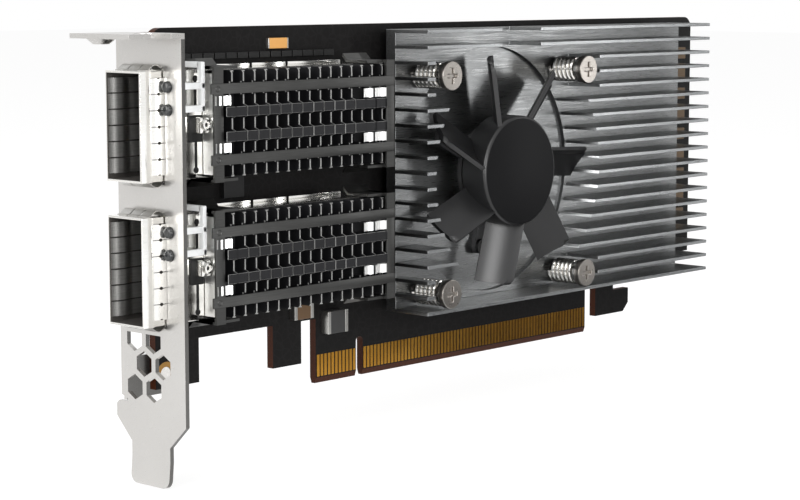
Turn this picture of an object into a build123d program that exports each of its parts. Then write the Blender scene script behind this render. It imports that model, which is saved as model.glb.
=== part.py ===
from build123d import *
from math import atan2, cos, degrees, hypot, pi, radians, sin
import os

# Low-profile expansion card with two module ports, a fan-cooled main heatsink, two small
# heatsinks that ride on the port cages and a folded mounting bracket.
# Sizes are in millimetres. X runs along the card from the bracket to the rear end, with zero
# at the middle of the key notch in the edge connector. Y = 0 is the face of the board that
# carries the components, which stand up toward -Y. Z = 0 is the bottom of the edge connector.

# Circuit board outline
BOARD_THICKNESS = 1.57
BOARD_LEFT = -52.65
BOARD_LENGTH = 163.5
BOARD_TOP = 68.9
BOARD_FRONT_EDGE = 12.6
BOARD_REAR_EDGE = 14.7
BOARD_CORNER = 2.5
FOOT_BOTTOM = 4.4
FRONT_FOOT_LENGTH = 10.4
MIDDLE_FOOT_LENGTH = 7.5
NOTCH_LENGTH = 3.9

# Edge connector
KEY_WIDTH = 1.9
KEY_HEIGHT = 7.8
SHORT_TAB_LENGTH = 11.2
LONG_TAB_LENGTH = 71.2
SHORT_TAB_PINS = 11
LONG_TAB_PINS = 71
PIN_PITCH = 1.0
PIN_WIDTH = 0.7
PIN_BOTTOM = 1.3
PIN_HEIGHT = 4.25
PIN_THICKNESS = 0.05
EDGE_BEVEL_HEIGHT = 1.1
EDGE_BEVEL_DEPTH = 0.35
HOOK_GAP = 3.75
HOOK_LENGTH = 12.1
HOOK_BOTTOM = 3.05
HOOK_ARM_HEIGHT = 5.2
HOOK_NECK_LENGTH = 6.5
HOOK_CHAMFER = 1.9

# Bracket sheet
SHEET = 0.86
BRACKET_FACE = -58.01
BRACKET_RIGHT = -13.97
BRACKET_WIDTH = 17.04
BRACKET_TAB_TOP = 68.3
LOBE_OVERHANG = 1.38
LOBE_TOP = 2.9
LOBE_BOTTOM = 0.1
LOBE_NOTCH_DEPTH = 1.65
LOBE_NOTCH_HEIGHT = 0.6
TONGUE_TOP = -4.0
TONGUE_BOTTOM = -11.45
TONGUE_LEFT = 0.45
TONGUE_WIDTH = 10.19
TONGUE_CORNER = 1.7
TONGUE_BEND_HEIGHT = 4.9
TONGUE_LEAN = 5.0
TAB_REACH = 11.43
TAB_SETBACK = 1.5
SCREW_NOTCH_WIDTH = 4.42
SCREW_NOTCH_DEPTH = 6.35
SCREW_NOTCH_REACH = 4.4
DIMPLE_DIAMETER = 5.2
DIMPLE_DEPTH = 1.0
DIMPLE_FLAT_SHARE = 0.55
DIMPLE_REACH = 8.0
DIMPLE_SETBACK = 4.2
VENT_WIDTH = 3.97
VENT_COLUMN_PITCH = 5.0
VENT_ROW_PITCH = 4.34
VENT_FIRST_Y = -0.64
VENT_FIRST_Z = 5.85
VENT_TOP_Z = 15.6
EAR_LENGTH = 9.6
EAR_HEIGHT = 7.6
EAR_CORNER = 2.0
EAR_LOWER_Z = 7.0
EAR_UPPER_Z = 64.4

# Screws that hold the bracket to the board
BRACKET_SCREW_X = -50.2
BRACKET_SCREW_DIAMETER = 2.5
BRACKET_SCREW_HEAD_DIAMETER = 4.6
BRACKET_SCREW_HEAD_HEIGHT = 1.5
BRACKET_SCREW_HEAD_CHAMFER = 0.5
INSERT_DIAMETER = 4.4
THREAD_CLEARANCE = 0.05
HOLE_CLEARANCE = 0.15
INSERT_CLEARANCE = 0.02

# Port cages
PORT_UPPER_Z = 52.3
PORT_PITCH = 25.1
CAGE_FRONT = -63.05
CAGE_REAR = -2.9
CAGE_DEPTH = 9.05
CAGE_HEIGHT = 18.9
CAGE_WALL = 0.3
CAGE_WINDOW_LENGTH = 40.0
CAGE_WINDOW_HEIGHT = 14.6
CAGE_WINDOW_FRONT = -48.0
WINDOW_CLEARANCE = 0.1
LATCH_SLOT_X = -54.6
LATCH_SLOT_LENGTH = 0.9
SIDE_HOLE_PITCH = 12.5
SIDE_HOLE_SIZE = 1.2

# Spring fingers round the mouth of each cage
FINGER_SHEET = 0.12
FINGER_BAND_LENGTH = 2.3
FINGER_PITCH = 2.8
FINGER_SLIT = 0.25
FINGER_SIDE_COUNT = 6
FINGER_END_COUNT = 3
FINGER_BULGE = 0.95
FINGER_SIDE_BULGE = 0.04
FINGER_PAST_FACE = 0.5

# Connector inside each cage
PLUG_LENGTH = 13.0
PLUG_REAR_GAP = 0.8
PLUG_SIDE_GAP = 0.75
PLUG_DEPTH = 6.6
PLUG_SLOT_WIDTH = 1.3
PLUG_END_WALL = 0.7
PLUG_SLOT_DEPTH = 6.5
PLUG_SLOT_Y = -4.3
CONTACT_END_GAP = 0.3
CONTACT_PITCH = 0.8
CONTACT_WIDTH = 0.35
CONTACT_THICKNESS = 0.2

# Light pipes and the lamps behind them
PIPE_DIAMETER = 1.95
PIPE_LIFT = 1.4
PIPE_OFFSETS = (6.8, 2.85)
PIPE_PROUD = 1.0
PIPE_HOLE_CLEARANCE = 0.1
PIPE_REAR = -49.9
PIPE_BAR = 1.1
PIPE_LEG_GAP = 0.4
PIPE_LEG_HEIGHT = 3.6
PIPE_FOOT_GAP = 0.15
LAMP_LENGTH = 1.0
LAMP_WIDTH = 0.9
LAMP_HEIGHT = 0.8

# Heatsinks that ride on the cages
RIDER_FIN_COUNT = 17
RIDER_FIN_PITCH = 2.74
RIDER_FIN_THICKNESS = 0.3
RIDER_FIRST_FIN = -47.7
RIDER_SIDE_GAP = 0.15
RIDER_BASE = 1.0
RIDER_MARGIN = 0.6
RIDER_FIN_RISE = 2.45
RIDER_BAND_RISE = 1.0
RIDER_BAND_WIDTH = 1.7
RIDER_BAND_OFFSET = 2.17
RIDER_BAND_SHEET = 0.3
RIDER_BAND_SEAM = 0.15
RIDER_PLAIN_LEFT_COUNT = 2
RIDER_PLAIN_RIGHT_COUNT = 4
RIDER_FOOT = 0.45
RIDER_FOOT_CLEARANCE = 0.4
RIDER_LIFT = 0.4

# Spring clips over the riding heatsinks
RAIL_OFFSET = 6.2
RAIL_WIDTH = 1.85
RAIL_THICKNESS = 0.5
RAIL_SIDE_CLEARANCE = 0.25
RAIL_FACE = 13.0
RAIL_OVERHANG = 1.8
RAIL_MARGIN = 0.6
CLIP_BAR_WIDTH = 2.2
CLIP_LEFT_ARM = 1.5
CLIP_RIGHT_ARM = 5.6
CLIP_ARM_SHEET = 0.3
CLIP_ARM_SIDE_GAP = 0.25
CLIP_ARM_DROP = 1.75
CLIP_LEG_WIDTH = 4.6
CLIP_LEG_CLEARANCE = 0.15
CLIP_LEG_DROP = 6.2
CLIP_LEG_INSET = 2.6
CLIP_FLARE = 1.2

# Main heatsink
CHIP_THICKNESS = 2.2
PAD_THICKNESS = 0.3
SINK_LEFT = 5.2
SINK_LENGTH = 93.9
SINK_BASE = 2.5
SINK_FIN_RISE = 8.5
SINK_FIN_COUNT = 19
SINK_FIN_PITCH = 3.036
SINK_FIN_THICKNESS = 0.65
SINK_TOP_FIN = 67.49
POCKET_RADIUS = 25.7
POCKET_FLOOR_RADIUS = 25.0
POCKET_FLOOR_DEPTH = 0.8
LANE_END_MARGIN = 1.95
LANE_TOP_MARGIN = 1.6
UPPER_LANE_BOTTOM_MARGIN = 2.6
LOWER_LANE_BOTTOM_MARGIN = 0.3
TOP_NOTCH_LEFT = 27.3
TOP_NOTCH_LENGTH = 12.3
CHIP_SIZE = 31.0
PAD_SIZE = 28.0
SUBSTRATE_THICKNESS = 1.1
LID_SIZE = 26.0

# Captive screws of the main heatsink
SINK_SCREW_CENTRE = (33.35, 37.5)
SINK_SCREW_SPACING = (42.9, 42.7)
SINK_SCREW_HEAD_DIAMETER = 5.7
SINK_SCREW_HEAD_HEIGHT = 1.3
SINK_SCREW_HEAD_PROUD = 0.4
SINK_SCREW_SHANK_DIAMETER = 2.7
SINK_SCREW_THREAD_DIAMETER = 2.2
CROSS_LENGTH = 3.0
CROSS_WIDTH = 0.7
CROSS_DEPTH = 0.55
SPRING_WIRE = 0.6
SPRING_DIAMETER = 4.9
SPRING_TURNS = 4.5
SPRING_CHORDS = 6
SPRING_END_CLEARANCE = 0.08
RETAINER_DIAMETER = 4.4
RETAINER_THICKNESS = 0.4
RETAINER_GAP = 0.1
NUT_WIDTH = 4.5
NUT_HEIGHT = 1.6

# Fan
FAN_X = 33.4
FAN_Z = 39.0
HUB_DIAMETER = 22.4
HUB_FRONT = -13.4
HUB_WALL = 1.0
HUB_DEPTH = 6.4
HUB_EDGE = 0.5
BLADE_COUNT = 7
BLADE_TIP_RADIUS = 23.2
BLADE_FRONT = -13.0
BLADE_BACK = -7.3
BLADE_THICKNESS = 0.9
BLADE_FIRST_ANGLE = 8.3
BLADE_ROOT_LEAD = 13.0
BLADE_ROOT_TRAIL = -8.0
BLADE_TIP_TRAIL = -13.0
FAN_PLATE_RADIUS = 9.0
FAN_PLATE_THICKNESS = 1.0
FAN_ARM_WIDTH = 3.0
FAN_SCREW_RADIUS = 16.0
FAN_SCREW_ANGLES = (153.0, 259.0, 26.0)
FAN_SCREW_DIAMETER = 1.6
FAN_SCREW_HEAD_DIAMETER = 3.0
FAN_SCREW_HEAD_HEIGHT = 0.7
FAN_SCREW_GRIP = 1.3
TUBE_RADIUS = 2.7
TUBE_WALL = 0.5
TUBE_LENGTH = 5.6
TUBE_FLOOR = 0.4
SHAFT_DIAMETER = 2.0
SHAFT_CLEARANCE = 0.03
SHAFT_BOSS_RADIUS = 2.0
SHAFT_BOSS_LENGTH = 1.2
BEARING_LENGTH = 4.7
CLIP_RING_RADIUS = 1.8
CLIP_RING_THICKNESS = 0.25
FIT = 0.02
MAGNET_THICKNESS = 1.5
MAGNET_LENGTH = 3.6
AIR_GAP = 0.4
STATOR_THICKNESS = 1.8
STATOR_TEETH = 4
STATOR_TOOTH_WIDTH = 1.8
STATOR_SHOE = 1.0
STATOR_RING = 1.1
STATOR_SHOE_ANGLE = 66.0
COIL_THICKNESS = 0.7
FAN_CIRCUIT_THICKNESS = 0.6
FAN_CIRCUIT_RADIUS = 8.4

# Small parts on the board: length, height and thickness, X, and gap in Z to what they follow
LARGE_CAPACITOR = (5.2, 1.95, 0.8)
LARGE_CAPACITOR_X = -22.2
LARGE_CAPACITOR_GAP = 0.45
LARGE_CAPACITOR_CAP = 0.3
CHIP_CHOKE = (5.5, 4.4, 2.0)
CHIP_CHOKE_X = -7.9
CHIP_CHOKE_GAP = 3.75
BROWN_CAPACITOR = (5.1, 2.9, 1.6)
BROWN_CAPACITOR_X = -16.7
BROWN_CAPACITOR_GAP = 1.6
END_CAP = 0.8
ROW_PART = (2.5, 1.1, 0.9)
ROW_PITCH = 2.8
ROW_START = -45.35
ROW_COUNT = 14
ROW_GAP = 1.4
FLASH_CHIP_LENGTH = 5.0
FLASH_CHIP_THICKNESS = 1.0
FLASH_CHIP_GAP = 1.1
FLASH_CHIP_X = -34.0
REAR_PART = (3.2, 2.6, 2.0)
REAR_PART_PITCH = 4.6
REAR_PART_X = 104.6
REAR_PART_START = 24.0
REAR_PART_COUNT = 9
CRYSTAL = (3.2, 2.5, 0.8)
CRYSTAL_X = 12.0

# Places worked out from the sizes above
BOARD_RIGHT = BOARD_LEFT + BOARD_LENGTH
SHORT_TAB_LEFT = -KEY_WIDTH / 2 - SHORT_TAB_LENGTH
LONG_TAB_RIGHT = KEY_WIDTH / 2 + LONG_TAB_LENGTH
NOTCH_LEFT = SHORT_TAB_LEFT - NOTCH_LENGTH
HOOK_LEFT = LONG_TAB_RIGHT + HOOK_GAP
BRACKET_INNER = BRACKET_FACE + SHEET
BRACKET_LEFT = BRACKET_RIGHT + BRACKET_WIDTH
CAGE_TOP = -CAGE_DEPTH
PIPE_Y = CAGE_TOP - PIPE_LIFT
PLUG_HEIGHT = CAGE_HEIGHT - 2 * CAGE_WALL - 2 * PLUG_SIDE_GAP
PLUG_SLOT_HEIGHT = PLUG_HEIGHT - 2 * PLUG_END_WALL
SINK_BACK = -(CHIP_THICKNESS + PAD_THICKNESS)
SINK_FACE = SINK_BACK - SINK_BASE
SINK_FRONT = SINK_FACE - SINK_FIN_RISE
SINK_RIGHT = SINK_LEFT + SINK_LENGTH
SINK_TOP = SINK_TOP_FIN + SINK_FIN_THICKNESS / 2
SINK_BOTTOM = SINK_TOP_FIN - (SINK_FIN_COUNT - 1) * SINK_FIN_PITCH - SINK_FIN_THICKNESS / 2
POCKET_FLOOR = SINK_FACE + POCKET_FLOOR_DEPTH
RIDER_FACE = CAGE_TOP - RIDER_BASE
RIDER_FIN_FRONT = RIDER_FACE - RIDER_FIN_RISE
RIDER_BAND_FRONT = RIDER_FIN_FRONT - RIDER_BAND_RISE
RIDER_HEIGHT = CAGE_HEIGHT - 2 * RIDER_SIDE_GAP
RIDER_LEFT = RIDER_FIRST_FIN - RIDER_FIN_THICKNESS / 2 - RIDER_MARGIN
RIDER_RIGHT = (
    RIDER_FIRST_FIN + (RIDER_FIN_COUNT - 1) * RIDER_FIN_PITCH
    + RIDER_FIN_THICKNESS / 2 + RIDER_MARGIN
)
RAIL_LEFT = RIDER_LEFT - RAIL_OVERHANG
RAIL_RIGHT = RIDER_RIGHT - RIDER_MARGIN
RAIL_BACK = -RAIL_FACE + RAIL_THICKNESS
RAIL_CHANNEL = RAIL_BACK + RIDER_LIFT + RAIL_SIDE_CLEARANCE
SCREW_PLACES = [
    (SINK_SCREW_CENTRE[0] + sx * SINK_SCREW_SPACING[0] / 2,
     SINK_SCREW_CENTRE[1] + sz * SINK_SCREW_SPACING[1] / 2)
    for sx in (-1, 1) for sz in (-1, 1)
]
EAR_PLACES = (EAR_LOWER_Z, EAR_UPPER_Z)
PORT_PLACES = [("upper", PORT_UPPER_Z), ("lower", PORT_UPPER_Z - PORT_PITCH)]


# Shapes used by every sub-part

def pane(left, right, bottom, top):
    """Rectangle between two pairs of limits, drawn in a sketch plane."""
    return Pos((left + right) / 2, (bottom + top) / 2) * Rectangle(right - left, top - bottom)


def disc(x, z, radius):
    return Pos(x, z) * Circle(radius)


def outline(*points):
    """Closed outline with straight sides."""
    return make_face(Polyline(*points, close=True))


def facing(face, near, far):
    """Face drawn in X and Z, made solid from Y = near to Y = far."""
    plane = Plane(origin=(0, far, 0), x_dir=(1, 0, 0), z_dir=(0, -1, 0))
    return extrude(plane * face, far - near)


def across(face, left, right):
    """Face drawn in Y and Z, made solid from X = left to X = right."""
    return extrude(Plane.YZ.offset(left) * face, right - left)


def upright(face, bottom, top):
    """Face drawn in X and Y, made solid from Z = bottom to Z = top."""
    return extrude(Plane.XY.offset(bottom) * face, top - bottom)


def block(left, right, near, far, bottom, top):
    return facing(pane(left, right, bottom, top), near, far)


def pin(x, z, radius, near, far):
    """Round bar along Y."""
    return facing(disc(x, z, radius), near, far)


def tube(x, z, outer, inner, near, far):
    return facing(disc(x, z, outer) - disc(x, z, inner), near, far)


def regular(count, pitch, centre=0.0):
    """Evenly spaced places, centred on a value."""
    return [centre + (i - (count - 1) / 2) * pitch for i in range(count)]


def save(name, *solids):
    """Write one node: every solid of the given shapes, each kept separate."""
    flat = [solid for shape in solids for solid in shape.solids()]
    node = flat[0] if len(flat) == 1 else Compound(children=flat)
    node.label = name
    export_step(node, f"parts/{name}.step")


# Circuit board and edge connector

def board_outline():
    shape = pane(BOARD_LEFT, BOARD_RIGHT, BOARD_REAR_EDGE, BOARD_TOP)
    shape += pane(BOARD_LEFT, HOOK_LEFT, BOARD_FRONT_EDGE, BOARD_REAR_EDGE)
    corners = shape.vertices().filter_by(lambda v: v.Y > BOARD_TOP - 0.01)
    shape = fillet(corners, BOARD_CORNER)
    front_foot_right = BOARD_LEFT + FRONT_FOOT_LENGTH
    shape += pane(BOARD_LEFT, front_foot_right, FOOT_BOTTOM, BOARD_FRONT_EDGE)
    shape += pane(NOTCH_LEFT - MIDDLE_FOOT_LENGTH, NOTCH_LEFT, FOOT_BOTTOM, BOARD_FRONT_EDGE)
    shape += pane(SHORT_TAB_LEFT, LONG_TAB_RIGHT, 0, BOARD_FRONT_EDGE)
    key_round = KEY_WIDTH / 2
    shape -= pane(-key_round, key_round, -1, KEY_HEIGHT - key_round)
    shape -= disc(0, KEY_HEIGHT - key_round, key_round)
    return shape + hook_outline()


def hook_outline():
    """Latch hook behind the edge connector: a neck with an arm that reaches rearward."""
    right = HOOK_LEFT + HOOK_LENGTH
    arm_top = HOOK_BOTTOM + HOOK_ARM_HEIGHT
    neck_right = HOOK_LEFT + HOOK_NECK_LENGTH
    neck = pane(HOOK_LEFT, neck_right, HOOK_BOTTOM, BOARD_REAR_EDGE)
    arm = outline(
        (HOOK_LEFT, HOOK_BOTTOM), (right - HOOK_CHAMFER, HOOK_BOTTOM),
        (right, HOOK_BOTTOM + HOOK_CHAMFER), (right, arm_top), (HOOK_LEFT, arm_top),
    )
    return neck + arm


def edge_bevel(side):
    """Wedge cut from the bottom of the edge connector on one face of the board."""
    face = 0 if side < 0 else BOARD_THICKNESS
    wedge = outline((face, 0), (face - side * EDGE_BEVEL_DEPTH, 0), (face, EDGE_BEVEL_HEIGHT))
    return across(wedge, SHORT_TAB_LEFT, LONG_TAB_RIGHT)


def circuit_board():
    board = facing(board_outline(), 0, BOARD_THICKNESS)
    for side in (-1, 1):
        board -= edge_bevel(side)
    for z in EAR_PLACES:
        board -= pin(BRACKET_SCREW_X, z, INSERT_DIAMETER / 2 + INSERT_CLEARANCE, -1, 3)
    for x, z in SCREW_PLACES:
        board -= pin(x, z, SINK_SCREW_THREAD_DIAMETER / 2 + HOLE_CLEARANCE, -1, 3)
    return board


def pin_places():
    first_short = -KEY_WIDTH / 2 - 0.55 * PIN_PITCH
    first_long = KEY_WIDTH / 2 + 0.55 * PIN_PITCH
    places = [first_short - i * PIN_PITCH for i in range(SHORT_TAB_PINS)]
    return places + [first_long + i * PIN_PITCH for i in range(LONG_TAB_PINS)]


def edge_contacts():
    pads = []
    for x in pin_places():
        pad = pane(x - PIN_WIDTH / 2, x + PIN_WIDTH / 2, PIN_BOTTOM, PIN_BOTTOM + PIN_HEIGHT)
        pads.append(facing(pad, -PIN_THICKNESS, 0))
        pads.append(facing(pad, BOARD_THICKNESS, BOARD_THICKNESS + PIN_THICKNESS))
    return pads


# Bracket: one folded sheet with the tab, the vents, the port windows and two ears

def bracket_outline():
    """Face of the bracket in Y and Z, from the fold of the tab to the tongue."""
    lobe = BRACKET_LEFT + LOBE_OVERHANG
    notch_top = LOBE_TOP + LOBE_NOTCH_HEIGHT
    tongue_right = TONGUE_LEFT - TONGUE_WIDTH
    bend = TONGUE_BOTTOM + TONGUE_BEND_HEIGHT
    shape = outline(
        (BRACKET_LEFT, BRACKET_TAB_TOP - SHEET), (BRACKET_LEFT, notch_top + LOBE_NOTCH_HEIGHT),
        (BRACKET_LEFT - LOBE_NOTCH_DEPTH, notch_top), (BRACKET_LEFT - LOBE_NOTCH_DEPTH, LOBE_TOP),
        (lobe - LOBE_NOTCH_HEIGHT, LOBE_TOP), (lobe, LOBE_TOP - LOBE_NOTCH_HEIGHT),
        (lobe, LOBE_BOTTOM), (TONGUE_LEFT, TONGUE_TOP), (TONGUE_LEFT, bend),
        (tongue_right, bend), (tongue_right, TONGUE_TOP), (BRACKET_RIGHT, LOBE_BOTTOM),
        (BRACKET_RIGHT, BRACKET_TAB_TOP - SHEET),
    )
    return shape


def vent(y, z):
    """Hexagonal vent with corners up and down."""
    return Pos(y, z) * Rot(0, 0, 30) * RegularPolygon(VENT_WIDTH / 2, 6, major_radius=False)


def vents():
    holes = []
    for row, shift in ((0, 0.0), (1, -0.5), (2, 0.0)):
        for column in (0, 1):
            y = VENT_FIRST_Y - (column - shift) * VENT_COLUMN_PITCH
            holes.append(vent(y, VENT_FIRST_Z + row * VENT_ROW_PITCH))
    shape = Sketch() + holes
    return shape & pane(BRACKET_RIGHT, BRACKET_LEFT, LOBE_TOP, VENT_TOP_Z)


def port_window(z):
    """Cut-out in the bracket that a cage and its spring fingers pass through."""
    top = CAGE_TOP - FINGER_SHEET - FINGER_SIDE_BULGE - WINDOW_CLEARANCE
    half = CAGE_HEIGHT / 2 + finger_rise(BRACKET_FACE) + FINGER_SHEET + WINDOW_CLEARANCE
    return pane(top, FINGER_SHEET + FINGER_SIDE_BULGE + WINDOW_CLEARANCE, z - half, z + half)


def bracket_face():
    face = bracket_outline() - vents()
    for name, z in PORT_PLACES:
        face -= port_window(z)
        for offset in PIPE_OFFSETS:
            face -= disc(PIPE_Y, z + offset, PIPE_DIAMETER / 2 + PIPE_HOLE_CLEARANCE)
    return across(face, BRACKET_FACE, BRACKET_INNER)


def bracket_tab():
    """Top tab folded outward, with the open notch for the chassis screw and a round dimple."""
    bottom = BRACKET_TAB_TOP - SHEET
    shape = pane(BRACKET_FACE - TAB_REACH, BRACKET_INNER, BRACKET_RIGHT, BRACKET_LEFT - TAB_SETBACK)
    notch_x = BRACKET_FACE - SCREW_NOTCH_REACH
    radius = SCREW_NOTCH_WIDTH / 2
    inner = BRACKET_RIGHT + SCREW_NOTCH_DEPTH - radius
    shape -= pane(notch_x - radius, notch_x + radius, BRACKET_RIGHT - 1, inner)
    shape -= disc(notch_x, inner, radius)
    return upright(shape, bottom, BRACKET_TAB_TOP) + dimple()


def dimple():
    """Round boss pressed down out of the tab, a blunt cone."""
    base = BRACKET_TAB_TOP - SHEET
    half = DIMPLE_DIAMETER / 2
    flat = half * DIMPLE_FLAT_SHARE
    place = Pos(BRACKET_FACE - DIMPLE_REACH, BRACKET_LEFT - TAB_SETBACK - DIMPLE_SETBACK, 0)
    cap = outline((0, base), (0, base - DIMPLE_DEPTH), (flat, base - DIMPLE_DEPTH), (half, base))
    return place * revolve(Plane.XZ * cap, Axis.Z)


def bracket_tongue():
    """Lower end of the bracket, leaning out of its plane, with rounded corners."""
    bend = TONGUE_BOTTOM + TONGUE_BEND_HEIGHT
    right = TONGUE_LEFT - TONGUE_WIDTH
    shape = pane(right, TONGUE_LEFT, TONGUE_BOTTOM, bend)
    corners = shape.vertices().filter_by(lambda v: v.Y < TONGUE_BOTTOM + 0.01)
    tongue = across(fillet(corners, TONGUE_CORNER), BRACKET_FACE, BRACKET_INNER)
    hinge = Axis((BRACKET_INNER, 0, bend), (0, 1, 0))
    return tongue.rotate(hinge, TONGUE_LEAN)


def bracket_ear(z):
    """Ear folded back from the bracket to lie flat on the solder side of the board."""
    near = BOARD_THICKNESS
    shape = pane(BRACKET_INNER - SHEET, BRACKET_INNER + EAR_LENGTH,
                 z - EAR_HEIGHT / 2, z + EAR_HEIGHT / 2)
    ends = shape.vertices().filter_by(lambda v: v.X > BRACKET_INNER)
    shape = fillet(ends, EAR_CORNER)
    shape -= disc(BRACKET_SCREW_X, z, BRACKET_SCREW_DIAMETER / 2 + HOLE_CLEARANCE)
    return facing(shape, near, near + SHEET)


def bracket():
    body = bracket_face() + bracket_tab() + bracket_tongue()
    for z in EAR_PLACES:
        body += bracket_ear(z)
    return body


def bracket_insert(z):
    """Threaded insert pressed into the board."""
    hole = (BRACKET_SCREW_DIAMETER / 2 + THREAD_CLEARANCE)
    return tube(BRACKET_SCREW_X, z, INSERT_DIAMETER / 2, hole, 0, BOARD_THICKNESS)


def bracket_screw(z):
    """Screw that passes through the ear into the insert, with a rounded head."""
    near = BOARD_THICKNESS + SHEET
    head = pin(BRACKET_SCREW_X, z, BRACKET_SCREW_HEAD_DIAMETER / 2, near,
               near + BRACKET_SCREW_HEAD_HEIGHT)
    rim = head.edges().filter_by(GeomType.CIRCLE).sort_by(Axis.Y)[-1]
    head = chamfer(rim, BRACKET_SCREW_HEAD_CHAMFER)
    shank = pin(BRACKET_SCREW_X, z, BRACKET_SCREW_DIAMETER / 2, HOLE_CLEARANCE, near)
    return head + shank


# Port cages

def cage(z):
    """Folded steel cage: open at the front, with a window for the heatsink and one for the plug."""
    half = CAGE_HEIGHT / 2
    body = block(CAGE_FRONT, CAGE_REAR, CAGE_TOP, 0, z - half, z + half)
    inner = half - CAGE_WALL
    body -= block(CAGE_FRONT - 1, CAGE_REAR - CAGE_WALL, CAGE_TOP + CAGE_WALL, -CAGE_WALL,
                  z - inner, z + inner)
    window = pane(CAGE_WINDOW_FRONT, CAGE_WINDOW_FRONT + CAGE_WINDOW_LENGTH,
                  z - CAGE_WINDOW_HEIGHT / 2, z + CAGE_WINDOW_HEIGHT / 2)
    body -= facing(window, CAGE_TOP - 1, CAGE_TOP + 1)
    plug_half = PLUG_HEIGHT / 2 + FIT
    body -= block(plug_front() - FIT, plug_rear() + FIT, -1, 1, z - plug_half, z + plug_half)
    slot_half = CAGE_HEIGHT / 2 - 3 * CAGE_WALL
    body -= block(LATCH_SLOT_X, LATCH_SLOT_X + LATCH_SLOT_LENGTH, CAGE_TOP - 1, CAGE_TOP + 1,
                  z - slot_half, z + slot_half)
    for x in regular(4, SIDE_HOLE_PITCH, (CAGE_FRONT + CAGE_REAR) / 2 + SIDE_HOLE_PITCH / 2):
        hole = Pos(x, CAGE_TOP + 2 * SIDE_HOLE_SIZE) * RegularPolygon(SIDE_HOLE_SIZE / 2, 3)
        body -= upright(hole, z - half - 1, z + half + 1)
    return body


def finger_rise(x):
    """How far the end fingers stand off the cage at a given X."""
    start = CAGE_FRONT + FINGER_BAND_LENGTH
    end = BRACKET_FACE + FINGER_PAST_FACE
    return FINGER_BULGE * sin(pi * (x - start) / (end - start)) if start < x < end else 0.0


def finger_profile(bulge):
    """Side view of one bowed finger as a strip of even thickness: distance along X, rise."""
    start = CAGE_FRONT + FINGER_BAND_LENGTH
    end = BRACKET_FACE + FINGER_PAST_FACE
    steps = 4
    lower = []
    for i in range(steps + 1):
        share = i / steps
        lower.append((start + share * (end - start), bulge * sin(pi * share)))
    upper = [(x, rise + FINGER_SHEET) for x, rise in reversed(lower)]
    return lower + upper


def cage_fingers(z):
    """Band of spring fingers round the front of the cage, open on the board side."""
    half = CAGE_HEIGHT / 2
    outer = half + FINGER_SHEET
    band_end = CAGE_FRONT + FINGER_BAND_LENGTH
    band = block(CAGE_FRONT, band_end, CAGE_TOP - FINGER_SHEET, FINGER_SHEET, z - outer, z + outer)
    band -= block(CAGE_FRONT - 1, band_end + 1, CAGE_TOP, 0, z - half, z + half)
    width = FINGER_PITCH - FINGER_SLIT
    side = [(x, CAGE_TOP - rise) for x, rise in finger_profile(FINGER_SIDE_BULGE)]
    for place in regular(FINGER_SIDE_COUNT, FINGER_PITCH, z):
        band += upright(outline(*side), place - width / 2, place + width / 2)
    for place in regular(FINGER_END_COUNT, FINGER_PITCH, CAGE_TOP / 2):
        for way in (-1, 1):
            end = [(x, z + way * (half + rise)) for x, rise in finger_profile(FINGER_BULGE)]
            band += facing(outline(*end), place - width / 2, place + width / 2)
    return band


def plug_rear():
    return CAGE_REAR - CAGE_WALL - PLUG_REAR_GAP


def plug_front():
    return plug_rear() - PLUG_LENGTH


def port_connector(z):
    """Plastic connector on the board inside the cage, with a slot for the module's edge."""
    half = PLUG_HEIGHT / 2
    body = block(plug_front(), plug_rear(), -PLUG_DEPTH, 0, z - half, z + half)
    slot_half = PLUG_SLOT_HEIGHT / 2
    body -= block(plug_front() - 1, plug_front() + PLUG_SLOT_DEPTH,
                  PLUG_SLOT_Y - PLUG_SLOT_WIDTH / 2 - CONTACT_THICKNESS,
                  PLUG_SLOT_Y + PLUG_SLOT_WIDTH / 2 + CONTACT_THICKNESS,
                  z - slot_half, z + slot_half)
    return body


def port_contacts(z):
    """Two rows of contact blades along the walls of the connector's slot."""
    blades = []
    room = PLUG_SLOT_HEIGHT - CONTACT_WIDTH - 2 * CONTACT_END_GAP
    count = int(room / CONTACT_PITCH) + 1
    near = PLUG_SLOT_Y - PLUG_SLOT_WIDTH / 2 - CONTACT_THICKNESS
    far = PLUG_SLOT_Y + PLUG_SLOT_WIDTH / 2
    front = plug_front() + 2 * CONTACT_THICKNESS
    for place in regular(count, CONTACT_PITCH, z):
        for y in (near, far):
            blades.append(block(front, plug_front() + PLUG_SLOT_DEPTH, y, y + CONTACT_THICKNESS,
                                place - CONTACT_WIDTH / 2, place + CONTACT_WIDTH / 2))
    return blades


# Status lights

def light_pipe(z):
    """Clear moulding: two rods through the bracket, a cross bar over the cage and a leg."""
    radius = PIPE_DIAMETER / 2
    front = BRACKET_FACE - PIPE_PROUD
    left = PIPE_REAR - PIPE_BAR
    leg = pipe_leg_bottom(z)
    body = block(left, PIPE_REAR, PIPE_Y - radius, PIPE_Y + radius,
                 z + min(PIPE_OFFSETS) - radius, leg + PIPE_LEG_HEIGHT)
    body += block(left, PIPE_REAR, PIPE_Y, -LAMP_HEIGHT - PIPE_FOOT_GAP, leg, leg + PIPE_LEG_HEIGHT)
    for offset in PIPE_OFFSETS:
        body += across(disc(PIPE_Y, z + offset, radius), front, left)
    return body


def pipe_leg_bottom(z):
    return z + CAGE_HEIGHT / 2 + PIPE_LEG_GAP


def status_lamps(z):
    """Two lamps side by side on the board under the foot of a light pipe."""
    x = PIPE_REAR - PIPE_BAR / 2
    middle = pipe_leg_bottom(z) + PIPE_LEG_HEIGHT / 2
    return [chip_at(x, place, (LAMP_LENGTH, LAMP_WIDTH, LAMP_HEIGHT))
            for place in regular(2, PIPE_LEG_HEIGHT / 2, middle)]


# Riding heatsinks and their clips

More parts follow.
